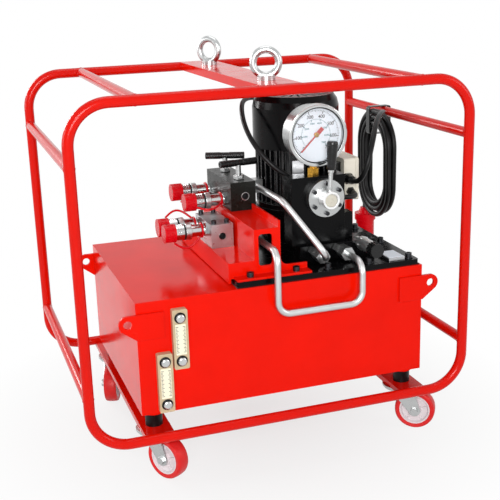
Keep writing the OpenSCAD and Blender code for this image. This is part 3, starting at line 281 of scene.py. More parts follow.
# Moulded phenolic with a diamond knurl: black, broken into small glints.
KNURLED = "knurled_phenolic"
NODE_FINISH: dict[str, str] = {
    # The cage's tubes and weld beads take a darker copy of the red enamel: painted shade.
    "front_hoop": "red_tube_enamel",
    "rear_hoop": "red_tube_enamel",
    "cross_members": "red_tube_enamel",
    "gauge_pointer": "red_lacquer",
    "motor_bell": "painted_cast_iron",
    # The motor's fins get lightened edges: painted highlight.
    "motor_frame": "rubbed_cast_iron",
    "level_gauge_tubes": "oil_filled_tube",
    "pressure_pipes": "drawn_steel_tube",
    "shutoff_block": "black_oxide_steel",
    "coupler_bodies": "polished_chrome",
    "relief_valve_body": "bright_nickel",
}
SLOT_FINISH: dict[str, str] = {
    "aluminium": "milled_aluminium",
    "black_paint": "black_enamel",
    "black_plastic": "black_phenolic",
    "black_rubber": "moulded_rubber",
    "brass": "turned_brass",
    "cream_plastic": "clear_acrylic",
    "dark_screw": "blackened_screw_steel",
    "gauge_glass": "oil_filled_tube",
    "grey_plastic": "grey_polycarbonate",
    "machined_steel": "machined_steel",
    "red_paint": "red_enamel",
    "red_plastic": "red_polyethylene",
    "red_pointer": "red_lacquer",
    "red_tyre": "red_polyurethane",
    "white_dial": "white_printed_tin",
    "zinc_steel": "zinc_plated_steel",
}


def to_linear(hex_colour: str) -> tuple[float, float, float, float]:
    """Changes an sRGB hex colour to linear RGBA.

    Args:
        hex_colour: Colour such as "#d40f14".

    Returns:
        Linear red, green, blue and an alpha of 1.
    """
    parts = [int(hex_colour[i : i + 2], 16) / 255 for i in (1, 3, 5)]
    linear = [p / 12.92 if p <= 0.04045 else ((p + 0.055) / 1.055) ** 2.4 for p in parts]
    return (linear[0], linear[1], linear[2], 1.0)


WHITE = to_linear("#ffffff")


def add_node(
    tree: bpy.types.NodeTree, kind: str, settings: dict[str, object] | None = None, **inputs: object
) -> bpy.types.Node:
    """Adds one node with its settings and links.

    Args:
        tree: The node tree.
        kind: The node's type name.
        settings: Properties of the node.
        **inputs: Values or sockets for its inputs, by name with underscores for spaces, or by number, as i0.

    Returns:
        The node.
    """
    node = tree.nodes.new(kind)
    for key, value in (settings or {}).items():
        setattr(node, key, value)
    for key, value in inputs.items():
        socket = node.inputs[int(key[1:]) if key[1:].isdigit() else key.replace("_", " ")]
        if isinstance(value, bpy.types.NodeSocket):
            tree.links.new(value, socket)
        else:
            socket.default_value = value
    return node


@dataclass
class MaterialKit:
    """Makes each procedural material once.

    Attributes:
        knurl_mm: Distance between a knurl's ridges.
        knurl_deep: Depth of a knurl in millimetres.
        wave_length: Length of a wave at a scale of 1.
        noise_rough: How much the fine octaves of a noise count.
        smear_share: Size of a gloss patch as a share of a colour patch.
        smear_span: Noise values between which the gloss changes.
        bump_strength: Strength of every bump.
        edge_span: Cosines between which an edge goes from unmarked to fully lightened.
        bare: How far a lightened edge, rubbed and painted highlight alike, lightens, evenly and with its own
            colour.
        bevel_samples: Samples with which edges are softened.
        coat_rough: Roughness of a clear coat.
        made: Materials made so far, by name.
    """

    knurl_mm: float = 1.6
    knurl_deep: float = 0.35
    wave_length: float = 0.31
    noise_rough: float = 0.55
    smear_share: float = 0.4
    smear_span: tuple[float, float] = (0.3, 0.7)
    bump_strength: float = 0.6
    edge_span: tuple[float, float] = (0.995, 0.8)
    bare: tuple[float, float] = (0.35, 0.4)
    bevel_samples: int = 4
    coat_rough: float = 0.06
    made: dict[str, bpy.types.Material] = field(default_factory=dict)

    def get(self, name: str) -> bpy.types.Material:
        """Gives a material by its real name.

        Args:
            name: A key of FINISHES, or the knurled finish.

        Returns:
            The material.
        """
        if name not in self.made:
            self.made[name] = self._build(name, FINISHES["black_phenolic" if name == KNURLED else name])
        return self.made[name]

    def _build(self, name: str, look: Finish) -> bpy.types.Material:
        """Builds one material from its finish.

        Args:
            name: The material's name.
            look: Its finish.

        Returns:
            The material.
        """
        material = bpy.data.materials.new(name)
        material.use_nodes = True
        tree = material.node_tree
        tree.nodes.clear()
        coords = add_node(tree, "ShaderNodeTexCoord").outputs["Object"]
        stretched = add_node(tree, "ShaderNodeMapping", Vector=coords, Scale=look.stretch).outputs["Vector"]
        patch, grain, smear = (
            add_node(
                tree, "ShaderNodeTexNoise", Vector=where, Scale=1.0 / (size_mm * MM), Detail=octaves,
                Roughness=self.noise_rough,
            ).outputs["Fac"]
            for where, size_mm, octaves in (
                (coords, look.patch_mm, 4.0),
                (stretched, look.grain_mm, 3.0),
                (stretched, look.patch_mm * self.smear_share, 5.0),
            )
        )
        base = to_linear(look.colour)
        dark, light = ((*(min(1.0, c * (1 + s * look.tint)) for c in base[:3]), 1.0) for s in (-2, 2))
        mixed = add_node(tree, "ShaderNodeMix", {"data_type": "RGBA"}, i0=patch, i6=dark, i7=light)
        colour = mixed.outputs[2]
        soft = add_node(tree, "ShaderNodeBevel", {"samples": self.bevel_samples}, Radius=look.edge_mm * MM)
        normal = soft.outputs["Normal"]
        # Edges are lightened, partly as rubbing and partly as a painted highlight.
        if look.wear_and_highlight > 0:
            colour = self._wear_and_highlight_edges(tree, look, normal, smear, colour)
        rough = add_node(
            tree, "ShaderNodeMapRange", Value=smear, From_Min=self.smear_span[0], From_Max=self.smear_span[1],
            To_Min=max(0.01, look.roughness - look.vary), To_Max=min(1.0, look.roughness + look.vary),
        ).outputs["Result"]
        height, depth = grain, look.bump
        if name == KNURLED:
            height, depth = self._knurl(tree, coords), self.knurl_deep
        if depth > 0:
            normal = add_node(
                tree, "ShaderNodeBump", Height=height, Distance=depth * MM, Strength=self.bump_strength,
                Normal=normal,
            ).outputs["Normal"]
        shader = add_node(
            tree, "ShaderNodeBsdfPrincipled", Base_Color=colour, Roughness=rough, Metallic=look.metallic,
            IOR=look.ior, Coat_Weight=look.coat, Coat_Roughness=self.coat_rough, Alpha=look.alpha,
            Sheen_Weight=look.sheen, Specular_IOR_Level=look.specular, Normal=normal,
        )
        add_node(tree, "ShaderNodeOutputMaterial", Surface=shader.outputs["BSDF"])
        material.diffuse_color = base
        return material

    def _wear_and_highlight_edges(
        self, tree: bpy.types.NodeTree, look: Finish, bevelled: bpy.types.NodeSocket,
        smear: bpy.types.NodeSocket, colour: bpy.types.NodeSocket,
    ) -> bpy.types.NodeSocket:
        """Lightens a colour at edges, partly as rubbing and partly as a painted highlight.

        Args:
            tree: The node tree.
            look: The finish.
            bevelled: Normal with softened edges.
            smear: Patches in which the edge is lightened more.
            colour: The clean colour.

        Returns:
            The colour with lightened edges.
        """
        true = add_node(tree, "ShaderNodeNewGeometry").outputs["Normal"]
        dot = add_node(tree, "ShaderNodeVectorMath", {"operation": "DOT_PRODUCT"}, i0=bevelled, i1=true)
        clean, full_edge = self.edge_span
        edge = add_node(tree, "ShaderNodeMapRange", Value=dot.outputs["Value"], From_Min=clean, From_Max=full_edge)
        # Where an edge is lightened: painted highlight as well as rubbing.
        edge_mask = add_node(tree, "ShaderNodeMath", {"operation": "MULTIPLY"}, i0=edge.outputs["Result"], i1=smear)
        even, own = self.bare
        pale = (*(min(1.0, c + look.wear_and_highlight * (even + own * c)) for c in to_linear(look.colour)[:3]), 1.0)
        mixed = add_node(
            tree, "ShaderNodeMix", {"data_type": "RGBA"}, i0=edge_mask.outputs["Value"], i6=colour, i7=pale
        )
        return mixed.outputs[2]

    def _knurl(self, tree: bpy.types.NodeTree, coords: bpy.types.NodeSocket) -> bpy.types.NodeSocket:
        """Crosses two rows of ridges to a diamond knurl.

        Args:
            tree: The node tree.
            coords: Coordinates in metres.

        Returns:
            The knurl's height.
        """
        scale = self.wave_length / (self.knurl_mm * MM)
        rows = []
        for turn in (math.radians(45), math.radians(-45)):
            turned = add_node(tree, "ShaderNodeMapping", Vector=coords, Rotation=(turn, 0, turn))
            wave = add_node(tree, "ShaderNodeTexWave", Vector=turned.outputs["Vector"], Scale=scale)
            rows.append(wave.outputs["Fac"])
        least = add_node(tree, "ShaderNodeMath", {"operation": "MINIMUM"}, i0=rows[0], i1=rows[1])
        return least.outputs["Value"]


def in_scene(name: str, data: bpy.types.ID) -> bpy.types.Object:
    """Makes an object and links it to the scene.

    Args:
        name: The object's name.
        data: Its mesh, curve, camera or light.

    Returns:
        The object.
    """
    obj = bpy.data.objects.new(name, data)
    bpy.context.scene.collection.objects.link(obj)
    return obj


def placed(at: Iterable[float], turn: Matrix = Axis.UP.value) -> Matrix:
    """Gives a place from a point and a turn.

    Args:
        at: The point in millimetres.
        turn: The turn, or none.

    Returns:
        The place in metres.
    """
    return Matrix.Translation(Vector(at) * MM) @ turn


def scaled(points: Iterable[Point]) -> list[Vector]:
    """Changes millimetres to metres.

    Args:
        points: Points in millimetres.

    Returns:
        The points in metres.
    """
    return [Vector(p) * MM for p in points]


def smooth_route(points: Sequence[Vector], steps: int) -> list[Vector]:
    """Lays a smooth curve through every point.

    Args:
        points: Route points.
        steps: Steps between two points.

    Returns:
        The curve's points.
    """
    ends = [points[0] * 2 - points[1], *points, points[-1] * 2 - points[-2]]
    out: list[Vector] = []
    for a, b, c, d in zip(ends, ends[1:], ends[2:], ends[3:]):
        for k in range(steps):
            t = k / steps
            square = 2 * a - 5 * b + 4 * c - d
            cube = 3 * b - a - 3 * c + d
            out.append(0.5 * (2 * b + (c - a) * t + square * t * t + cube * t**3))
    out.append(points[-1].copy())
    return out


def route_length(points: Sequence[Vector]) -> float:
    """Adds up a route's length.

    Args:
        points: Route points.

    Returns:
        Its length.
    """
    return sum((b - a).length for a, b in zip(points, points[1:]))


@dataclass(frozen=True)
class Workshop:
    """Makes the pieces' meshes.

    Attributes:
        kit: Gives the materials.
        figure_t: Thickness of printed figures in millimetres.
        figure_bold: How far figures are thickened, as a share of their size.
        plate_lip: Widest chamfer of a plate in millimetres.
        corner_steps: Steps round a plate's corner.
    """

    kit: MaterialKit
    figure_t: float = 0.08
    figure_bold: float = 0.018
    plate_lip: float = 0.4
    corner_steps: int = 6

    def mesh(
        self, name: str, verts: Sequence[Vector], faces: Sequence[Sequence[int]], finish: str,
        sharp: float = 35.0,
    ) -> bpy.types.Object:
        """Makes one mesh object.

        Args:
            name: Piece name.
            verts: Vertices in metres.
            faces: Faces.
            finish: Material name.
            sharp: Angle in degrees above which an edge stays sharp.

        Returns:
            The object.
        """
        data = bpy.data.meshes.new(name)
        data.from_pydata([tuple(v) for v in verts], [], [tuple(f) for f in faces])
        data.validate()
        data.polygons.foreach_set("use_smooth", [True] * len(data.polygons))
        data.set_sharp_from_angle(angle=math.radians(sharp))
        data.materials.append(self.kit.get(finish))
        return in_scene(name, data)

    def lathe(
        self, name: str, profile: Profile, at: Point, axis: Matrix, finish: str, sides: int = 64,
        sharp: float = 35.0,
    ) -> bpy.types.Object:
        """Turns a profile about its own +Z and sets it in place.

        Args:
            name: Piece name.
            profile: Radius and height pairs in millimetres; a radius of 0 closes an end.
            at: Where the profile's height 0 sits, in millimetres.
            axis: Turn from +Z to the piece's axis.
            finish: Material name.
            sides: Steps round.
            sharp: Angle above which an edge stays sharp.

        Returns:
            The object.
        """
        place = placed(at, axis)
        verts: list[Vector] = []
        rings: list[list[int]] = []
        for r, z in profile:
            count = 1 if r <= 0 else sides
            rings.append(list(range(len(verts), len(verts) + count)))
            for k in range(count):
                a = 2 * math.pi * k / sides
                verts.append(place @ (Vector((r * math.cos(a), r * math.sin(a), z)) * MM))
        faces: list[tuple[int, ...]] = []
        for low, high in zip(rings, rings[1:]):
            for k in range(sides):
                n = (k + 1) % sides
                if len(low) == 1 and len(high) > 1:
                    faces.append((low[0], high[n], high[k]))
                elif len(high) == 1 and len(low) > 1:
                    faces.append((low[k], low[n], high[0]))
                elif len(low) > 1:
                    faces.append((low[k], low[n], high[n], high[k]))
        return self.mesh(name, verts, faces, finish, sharp)

    def tube(
        self, name: str, route: Sequence[Vector], radius: float, finish: str, sides: int
    ) -> bpy.types.Object:
        """Sweeps a round tube along a route.

        Args:
            name: Piece name.
            route: Points in metres.
            radius: Radius in metres.
            finish: Material name.
            sides: Steps round.

        Returns:
            The object.
        """
        verts: list[Vector] = []
        side: Vector | None = None
        for i, p in enumerate(route):
            along = (route[min(i + 1, len(route) - 1)] - route[max(i - 1, 0)]).normalized()
            if side is None:
                side = along.orthogonal().normalized()
            side = (side - along * side.dot(along)).normalized()
            up = along.cross(side)
            for k in range(sides):
                a = 2 * math.pi * k / sides
                verts.append(p + (side * math.cos(a) + up * math.sin(a)) * radius)
        faces: list[tuple[int, ...]] = []
        for i in range(len(route) - 1):
            for k in range(sides):
                n = (k + 1) % sides
                faces.append((i * sides + k, i * sides + n, (i + 1) * sides + n, (i + 1) * sides + k))
        faces.append(tuple(range(sides - 1, -1, -1)))
        last = (len(route) - 1) * sides
        faces.append(tuple(range(last, last + sides)))
        return self.mesh(name, verts, faces, finish)

    def plate(self, name: str, size: Point, place: Matrix, corner: float, finish: str) -> bpy.types.Object:
        """Makes a plate with round corners and a small chamfer, its back on the place's plane.

        Args:
            name: Piece name.
            size: Width, height and thickness in millimetres.
            place: Place of the plate's back centre, in metres.
            corner: Corner radius in millimetres.
            finish: Material name.

        Returns:
            The object.
        """
        w, h, t = size
        outline: list[tuple[float, float]] = []
        for quarter, (sx, sy) in enumerate(((1, 1), (-1, 1), (-1, -1), (1, -1))):
            for k in range(self.corner_steps + 1):
                a = math.pi / 2 * (quarter + k / self.corner_steps)
                x = sx * (w / 2 - corner) + corner * math.cos(a)
                y = sy * (h / 2 - corner) + corner * math.sin(a)
                outline.append((x, y))
        lip = min(self.plate_lip, t / 3)
        verts: list[Vector] = []
        for z, inset in ((0, 0), (t - lip, 0), (t, lip)):
            for x, y in outline:
                scale = Vector((x * (1 - 2 * inset / w), y * (1 - 2 * inset / h), z)) * MM
                verts.append(place @ scale)
        n = len(outline)
        faces: list[tuple[int, ...]] = [tuple(range(n - 1, -1, -1)), tuple(range(2 * n, 3 * n))]
        for ring in (0, n):
            for k in range(n):
                j = (k + 1) % n
                faces.append((ring + k, ring + j, ring + n + j, ring + n + k))
        return self.mesh(name, verts, faces, finish, sharp=20.0)

    def slab(
        self, name: str, outline: Profile, thickness: float, place: Matrix, finish: str
    ) -> bpy.types.Object:
        """Cuts a flat piece of sheet metal, its middle plane on the place's plane.

        Args:
            name: Piece name.
            outline: Corners in millimetres, anticlockwise.
            thickness: Its thickness in millimetres.
            place: Where it sits, in metres.
            finish: Material name.

        Returns:
            The object.
        """
        n = len(outline)
        verts = [place @ (Vector((x, y, z * thickness / 2)) * MM) for z in (-1, 1) for x, y in outline]
        faces: list[tuple[int, ...]] = [tuple(range(n - 1, -1, -1)), tuple(range(n, 2 * n))]
        faces += [(k, (k + 1) % n, n + (k + 1) % n, n + k) for k in range(n)]
        return self.mesh(name, verts, faces, finish, sharp=25.0)

    def words(self, name: str, text: str, size_mm: float, place: Matrix, finish: str) -> bpy.types.Object:
        """Makes flat figures for a dial.

        Args:
            name: Piece name.
            text: The figures.
            size_mm: Their size.
            place: Their centre's place, in metres.
            finish: Material name.

        Returns:
            The object.
        """
        curve = bpy.data.curves.new(name + "_curve", "FONT")
        curve.body = text
        curve.size = size_mm * MM
        curve.align_x = "CENTER"
        curve.align_y = "CENTER"
        curve.extrude = self.figure_t / 2 * MM
        curve.offset = self.figure_bold * size_mm * MM
        holder = in_scene(name + "_holder", curve)
        bpy.context.view_layer.update()
        data = bpy.data.meshes.new_from_object(holder.evaluated_get(bpy.context.evaluated_depsgraph_get()))
        bpy.data.objects.remove(holder)
        bpy.data.curves.remove(curve)
        data.transform(place)
        data.name = name
        data.materials.clear()
        data.materials.append(self.kit.get(finish))
        return in_scene(name, data)


def settle(obj: bpy.types.Object, body: str = Body.BASE.value) -> None:
    """Hangs a piece on a body and reports it.

    Args:
        obj: The piece.
        body: The body's name.
    """
    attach(obj, body)
    LOG.info("%s on %s", obj.name, body)


@dataclass(frozen=True)
class Studio:
    """Camera, floor and soft light.

    Attributes:
        camera_at: The camera's place in millimetres.
        camera_to: What it looks at, in millimetres.
        camera_roll: Its roll in radians.
        camera_lens: Its focal length in millimetres.
        sensor: Width of its sensor in millimetres.
        near: Nearest distance that the camera sees, in metres.
        floor_size: The floor's side in metres.
        floor_colour: Its colour.
        floor_rough: Its roughness.
        floor_specular: Its specular level.
        floor_fade: Distances in metres over which the floor fades to white; its middle is partly faded.
        surround: Strength of the world's light on the object.
        lamps: Name, place, aim, size and power of each lamp, in metres and watts.
    """

    camera_at: Point = (-538.4, -1660.7, 835.6)
    camera_to: Point = (21.8, 0.0, 327.2)
    camera_roll: float = -0.030
    camera_lens: float = 68.85
    sensor: float = 36.0
    near: float = 0.05
    floor_size: float = 30.0
    floor_colour: str = "#cbcbcb"
    floor_rough: float = 0.6
    floor_specular: float = 0.1
    floor_fade: tuple[float, float] = (-1.2, 0.6)
    surround: float = 0.2
    lamps: tuple[tuple[str, Point, Point, float, float], ...] = (
        ("key_light", (-1.0, -3.0, 1.3), (0, 0, 0.3), 1.2, 84.0),
        ("fill_light", (2.4, -1.8, 1.2), (0, 0, 0.3), 1.2, 16.0),
        ("top_light", (0.2, 0.4, 3.0), (0, 0, 0.3), 1.8, 20.0),
        ("side_light", (-2.6, 0.5, 0.9), (-0.2, 0, 0.3), 1.0, 17.0),
        ("rim_light", (-1.4, 2.2, 1.3), (0, 0, 0.4), 0.9, 34.0),
    )

    def camera(self) -> None:
        """Sets the camera at the photograph's view."""
        at, to = Vector(self.camera_at) * MM, Vector(self.camera_to) * MM
        forward = (to - at).normalized()
        right = forward.cross(Vector((0, 0, 1))).normalized()
        up = right.cross(forward)
        c, s = math.cos(self.camera_roll), math.sin(self.camera_roll)
        x_axis = right * c + up * s
        y_axis = up * c - right * s
        data = bpy.data.cameras.new("view_camera")
        data.lens = self.camera_lens
        data.sensor_width = self.sensor
        data.clip_start = self.near
        obj = in_scene("view_camera", data)
        turn = Matrix((x_axis, y_axis, -forward)).transposed().to_4x4()
        obj.matrix_world = Matrix.Translation(at) @ turn
        bpy.context.scene.camera = obj

    @staticmethod
    def _in_view(tree: bpy.types.NodeTree) -> bpy.types.NodeSocket:
        """Tells rays that look, straight or in a reflection, from rays that only gather light.

        Args:
            tree: The node tree.

        Returns:
            1 for a camera, glossy or transmitted ray, otherwise 0.
        """
        path = add_node(tree, "ShaderNodeLightPath")
        seen = path.outputs["Is Camera Ray"]
        for kind in ("Is Glossy Ray", "Is Transmission Ray"):
            other = path.outputs[kind]
            either = add_node(tree, "ShaderNodeMath", {"operation": "MAXIMUM"}, i0=seen, i1=other)
            seen = either.outputs["Value"]
        return seen

    def floor(self) -> None:
        """Lays a plain pale floor that fades to white and keeps the object's shadow."""
        half = self.floor_size / 2
        data = bpy.data.meshes.new("floor")
        corners = [(-half, -half, 0), (half, -half, 0), (half, half, 0), (-half, half, 0)]
        data.from_pydata(corners, [], [(0, 1, 2, 3)])
        material = bpy.data.materials.new("pale_floor")
        material.use_nodes = True
        tree = material.node_tree
        tree.nodes.clear()
        shader = add_node(
            tree, "ShaderNodeBsdfPrincipled", Base_Color=to_linear(self.floor_colour),
            Roughness=self.floor_rough, Specular_IOR_Level=self.floor_specular,
        )
        where = add_node(tree, "ShaderNodeTexCoord").outputs["Object"]
        reach = add_node(tree, "ShaderNodeVectorMath", {"operation": "LENGTH"}, i0=where).outputs["Value"]
        near, far = self.floor_fade
        fade = add_node(tree, "ShaderNodeMapRange", Value=reach, From_Min=near, From_Max=far)
        share = add_node(
            tree, "ShaderNodeMath", {"operation": "MULTIPLY"}, i0=fade.outputs["Result"],
            i1=self._in_view(tree),
        )
        glow = add_node(tree, "ShaderNodeEmission", Color=WHITE, Strength=1.0)
        surface = add_node(
            tree, "ShaderNodeMixShader", i0=share.outputs["Value"], i1=shader.outputs["BSDF"],
            i2=glow.outputs["Emission"],
        )
        add_node(tree, "ShaderNodeOutputMaterial", Surface=surface.outputs["Shader"])
        data.materials.append(material)
        in_scene("floor", data)

    def light(self) -> None:
        """Hangs soft lights and a white surround."""
        world = bpy.data.worlds.new("white_surround")
        world.use_nodes = True
        tree = world.node_tree
        back = tree.nodes["Background"]
        back.inputs["Color"].default_value = WHITE
        back.inputs["Strength"].default_value = self.surround
        white = add_node(tree, "ShaderNodeBackground", Color=WHITE, Strength=1.0)
        both = add_node(
            tree, "ShaderNodeMixShader", i0=self._in_view(tree), i1=back.outputs["Background"],
            i2=white.outputs["Background"],
        )
        tree.links.new(both.outputs["Shader"], tree.nodes["World Output"].inputs["Surface"])
        bpy.context.scene.world = world
        for name, at, to, size, power in self.lamps:
            data = bpy.data.lights.new(name, "AREA")
            data.size = size
            data.energy = power
            aim = (Vector(to) - Vector(at)).to_track_quat("-Z", "Y")
            in_scene(name, data).matrix_world = Matrix.Translation(Vector(at)) @ aim.to_matrix().to_4x4()
        bpy.context.scene.view_settings.view_transform = "Standard"


@dataclass(frozen=True)
class Cords:
    """The power cord with its hank, and the motor's own lead.

    Attributes:
        shop: Makes the meshes.
        cord_d: The power cord's diameter in millimetres.
        lead_d: The motor lead's diameter in millimetres.
        cord_route: The power cord from its gland to the hank.
        lead_route: The motor lead from its own box to the terminal box.
        hank_c: The hank's middle.
        hank_run: Half the length of the hank's straight runs.
        hank_r: Radius of the first turn's folds.
        hank_pitch: Step from turn to turn in a layer.
        hank_step: Step from layer to layer.
        hank_back: Turns after which the second layer starts.
        hank_cross: Turns over which the cord crosses to it.
        hank_rings: Points in a turn.
        hank_last: The last point.
        hank_fine: Steps between two points.
        plug_top: Height of the plug's cable end.
        route_steps: Steps between two points of a route.
    """

    shop: Workshop
    cord_d: float = 10.0
    lead_d: float = 9.0
    cord_route: tuple[Point, ...] = (
        (209, -58, 456), (209, -66, 456), (209.5, -86, 461.4), (212, -100.6, 476), (217, -106, 496),
        (225, -101.5, 517), (237, -88, 538), (252, -66, 555.5), (268, -43, 565.5), (286, -19, 569.6),
        (302.6, 4.4, 569.3), (307.2, 14.6, 567), (310.8, 28.1, 565), (312, 42, 564), (312, 47.8, 564),
    )
    lead_route: tuple[Point, ...] = (
        (96, 115, 548), (96, 115, 564), (92, 111.5, 584), (81, 101.8, 598.6), (66, 88.6, 604), (46, 69, 605),
        (30, 44, 600), (19, 14, 587), (14, -16, 568), (16, -43, 547), (27, -64, 523), (46, -77, 500),
        (72, -83, 481), (103, -82, 466), (135, -80.5, 452), (160, -82.4, 440), (169.7, -85.8, 435.5),
        (179, -87, 433), (197, -82.2, 430.5), (210.2, -69, 430), (215, -51, 430), (215, -44, 430),
    )
    hank_c: Point = (312.0, 58.0, 456.0)
    hank_run: float = 38.0
    hank_r: float = 70.0
    hank_pitch: float = 12.0
    hank_step: float = 11.5
    hank_back: float = 2.5
    hank_cross: float = 0.5
    hank_rings: int = 24
    hank_last: int = 125
    hank_fine: int = 3
    plug_top: float = 353.0
    route_steps: int = 6

    def hank_point(self, t: float) -> Point:
        """Gives a point of the hank's winding.

        Args:
            t: Turns from the start.

        Returns:
            The point in millimetres.
        """
        a = self.hank_rings * (t - math.floor(t))
        past = t - self.hank_back
        r = self.hank_r + self.hank_pitch * (max(0.0, past - self.hank_cross) - min(t, self.hank_back))
        layer = self.hank_step * min(1.0, max(0.0, past / self.hank_cross))
        # A turn is a quarter fold, a straight run, half a fold, a run back and a quarter fold, in 5, 2, 10, 2
        # and 5 points, with 18 degrees to a point in the folds.
        if a < 5:
            turn, run = 18 * a, 1.0
        elif a < 7:
            turn, run = 90, 6 - a
        elif a < 17:
            turn, run = 90 + 18 * (a - 7), -1.0
        elif a < 19:
            turn, run = 270, a - 18
        else:
            turn, run = 270 + 18 * (a - 19), 1.0
        angle = math.radians(turn)
        x, y, z = self.hank_c
        return (x + layer, y + r * math.sin(angle), z + r * math.cos(angle) + self.hank_run * run)

    def _curve(self, name: str, points: Sequence[Vector], diameter: float) -> bpy.types.Object:
        """Makes a cord from one open spline.

        Args:
            name: Piece name.
            points: Its centreline in metres.
            diameter: Its diameter in metres.

        Returns:
            The object.
        """
        curve = bpy.data.curves.new(name, "CURVE")
        curve.dimensions = "3D"
        curve.bevel_depth = diameter / 2
        curve.bevel_resolution = 5
        curve.use_fill_caps = True
        spline = curve.splines.new("POLY")
        spline.points.add(len(points) - 1)
        for p, q in zip(spline.points, points):
            p.co = (*q, 1.0)
        spline.use_smooth = True
        curve.materials.append(self.shop.kit.get("moulded_rubber"))
        return in_scene(name, curve)

    def build(self, plug: bpy.types.Object, tie: bpy.types.Object) -> None:
        """Lays both cords on the frame.

        Args:
            plug: The plug's CAD node; not used.
            tie: The tie's CAD node; not used.
        """
        steps = self.hank_last * self.hank_fine
        turns = [self.hank_point(k / self.hank_rings / self.hank_fine) for k in range(steps + 1)]
        end = turns[-1]
        tail = [(end[0], end[1], end[2] + f * (self.plug_top - end[2])) for f in (0.25, 0.5, 0.75, 1.0)]
        lead = smooth_route(scaled(self.cord_route), self.route_steps)
        points = lead + scaled(turns) + scaled(tail)
        cord = self._curve("power_cord", points, self.cord_d * MM)
        settle(cord)
        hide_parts("power_cord_lead", "power_cord_hank")
        route = smooth_route(scaled(self.lead_route), self.route_steps)
        wire = self._curve("motor_cable", route, self.lead_d * MM)
        settle(wire)
        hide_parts("motor_lead")
        LOG.info("motor lead %.3f m", route_length(route))


@dataclass(frozen=True)
class Castor:
    """One castor's place.

    Attributes:
        name: Which corner.
        x: Swivel's X in millimetres.
        y: Swivel's Y in millimetres.
        heading: Direction of the trail in degrees.
    """

    name: str
    x: float
    y: float
    heading: float


@dataclass(frozen=True)
class Wheels:
    """Castor wheels with a moulded tyre on a ribbed rim.

    Attributes:
        shop: Makes the meshes.
        castors: Place of each castor.
        trail: Trail in millimetres.
        wheel_r: Radius of a wheel.
        tyre: Section of the moulded tyre.
        rim: Section of the rim.
        ribs: Ribs on each side of a rim.
        rib: Width, length and height of a rib.
        rib_r: Distance of a rib's middle from the axle.
        rib_z: Where a rib's foot lies on the rim.
        rib_corner: Radius of a rib's corners.
    """

    shop: Workshop
    castors: tuple[Castor, ...] = (
        Castor("front_left", -224, -175, -57),
        Castor("front_right", 250, -175, -34),
        Castor("rear_left", -224, 175, -110),
        Castor("rear_right", 250, 175, -20),
    )
    trail: float = 32.0
    wheel_r: float = 37.5
    tyre: Profile = (
        (28.2, -11.5), (34.0, -12.5), (35.8, -11.6), (36.9, -9.5), (37.4, -5.0), (37.5, 0.0), (37.4, 5.0),
        (36.9, 9.5), (35.8, 11.6), (34.0, 12.5), (28.2, 11.5), (28.2, -11.5),
    )
    rim: Profile = (
        (4.1, -12.9), (10.8, -12.9), (11.3, -12.3), (12.0, -7.8), (20.0, -7.0), (23.5, -8.0), (25.5, -11.4),
        (28.4, -11.5), (28.4, 11.5), (25.5, 11.4), (23.5, 8.0), (20.0, 7.0), (12.0, 7.8), (11.3, 12.3),
        (10.8, 12.9), (4.1, 12.9), (4.1, -12.9),
    )
    ribs: int = 5
    rib: Point = (2.2, 12.0, 3.2)
    rib_r: float = 17.2
    rib_z: float = 6.9
    rib_corner: float = 0.8

    def build(self) -> None:
        """Sets a tyre and a ribbed rim on each castor."""
        for c in self.castors:
            a = math.radians(c.heading)
            hub = (c.x + self.trail * math.cos(a), c.y + self.trail * math.sin(a), self.wheel_r)
            axis = Matrix.Rotation(a, 4, "Z") @ Axis.FRONT.value
            body = f"wheel_{c.name}"
            tyre = self.shop.lathe(f"tyre_{c.name}", self.tyre, hub, axis, "red_polyurethane", sides=96)
            rim = self.shop.lathe(f"rim_{c.name}", self.rim, hub, axis, "white_nylon", sides=72)
            for piece in (tyre, rim):
                settle(piece, body)
                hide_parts(f"castor_wheel_{c.name}")
            place = placed(hub, axis)
            for side, letter, flip in ((1, "a", Axis.UP.value), (-1, "b", Axis.DOWN.value)):
                foot = placed((0, self.rib_r, self.rib_z * side), flip)
                for k in range(self.ribs):
                    turned = place @ Matrix.Rotation(2 * math.pi * k / self.ribs, 4, "Z") @ foot
                    name = f"rim_rib_{c.name}_{letter}{k}"
                    rib = self.shop.plate(name, self.rib, turned, self.rib_corner, "white_nylon")
                    settle(rib, body)


@dataclass(frozen=True)
class Scale:
    """One ring of the dial's print.

    Attributes:
        outer: Radius of its ticks' outer ends in millimetres.
        ink: Its finish.
        unit: What one numbered step counts.
        figure_mm: Size of its figures.
        figure_in: How far its figures stand inside the ticks' outer ends.
        tick_share: Length of its ticks as a share of the gauge's.
    """

    outer: float
    ink: str
    unit: int
    figure_mm: float
    figure_in: float
    tick_share: float


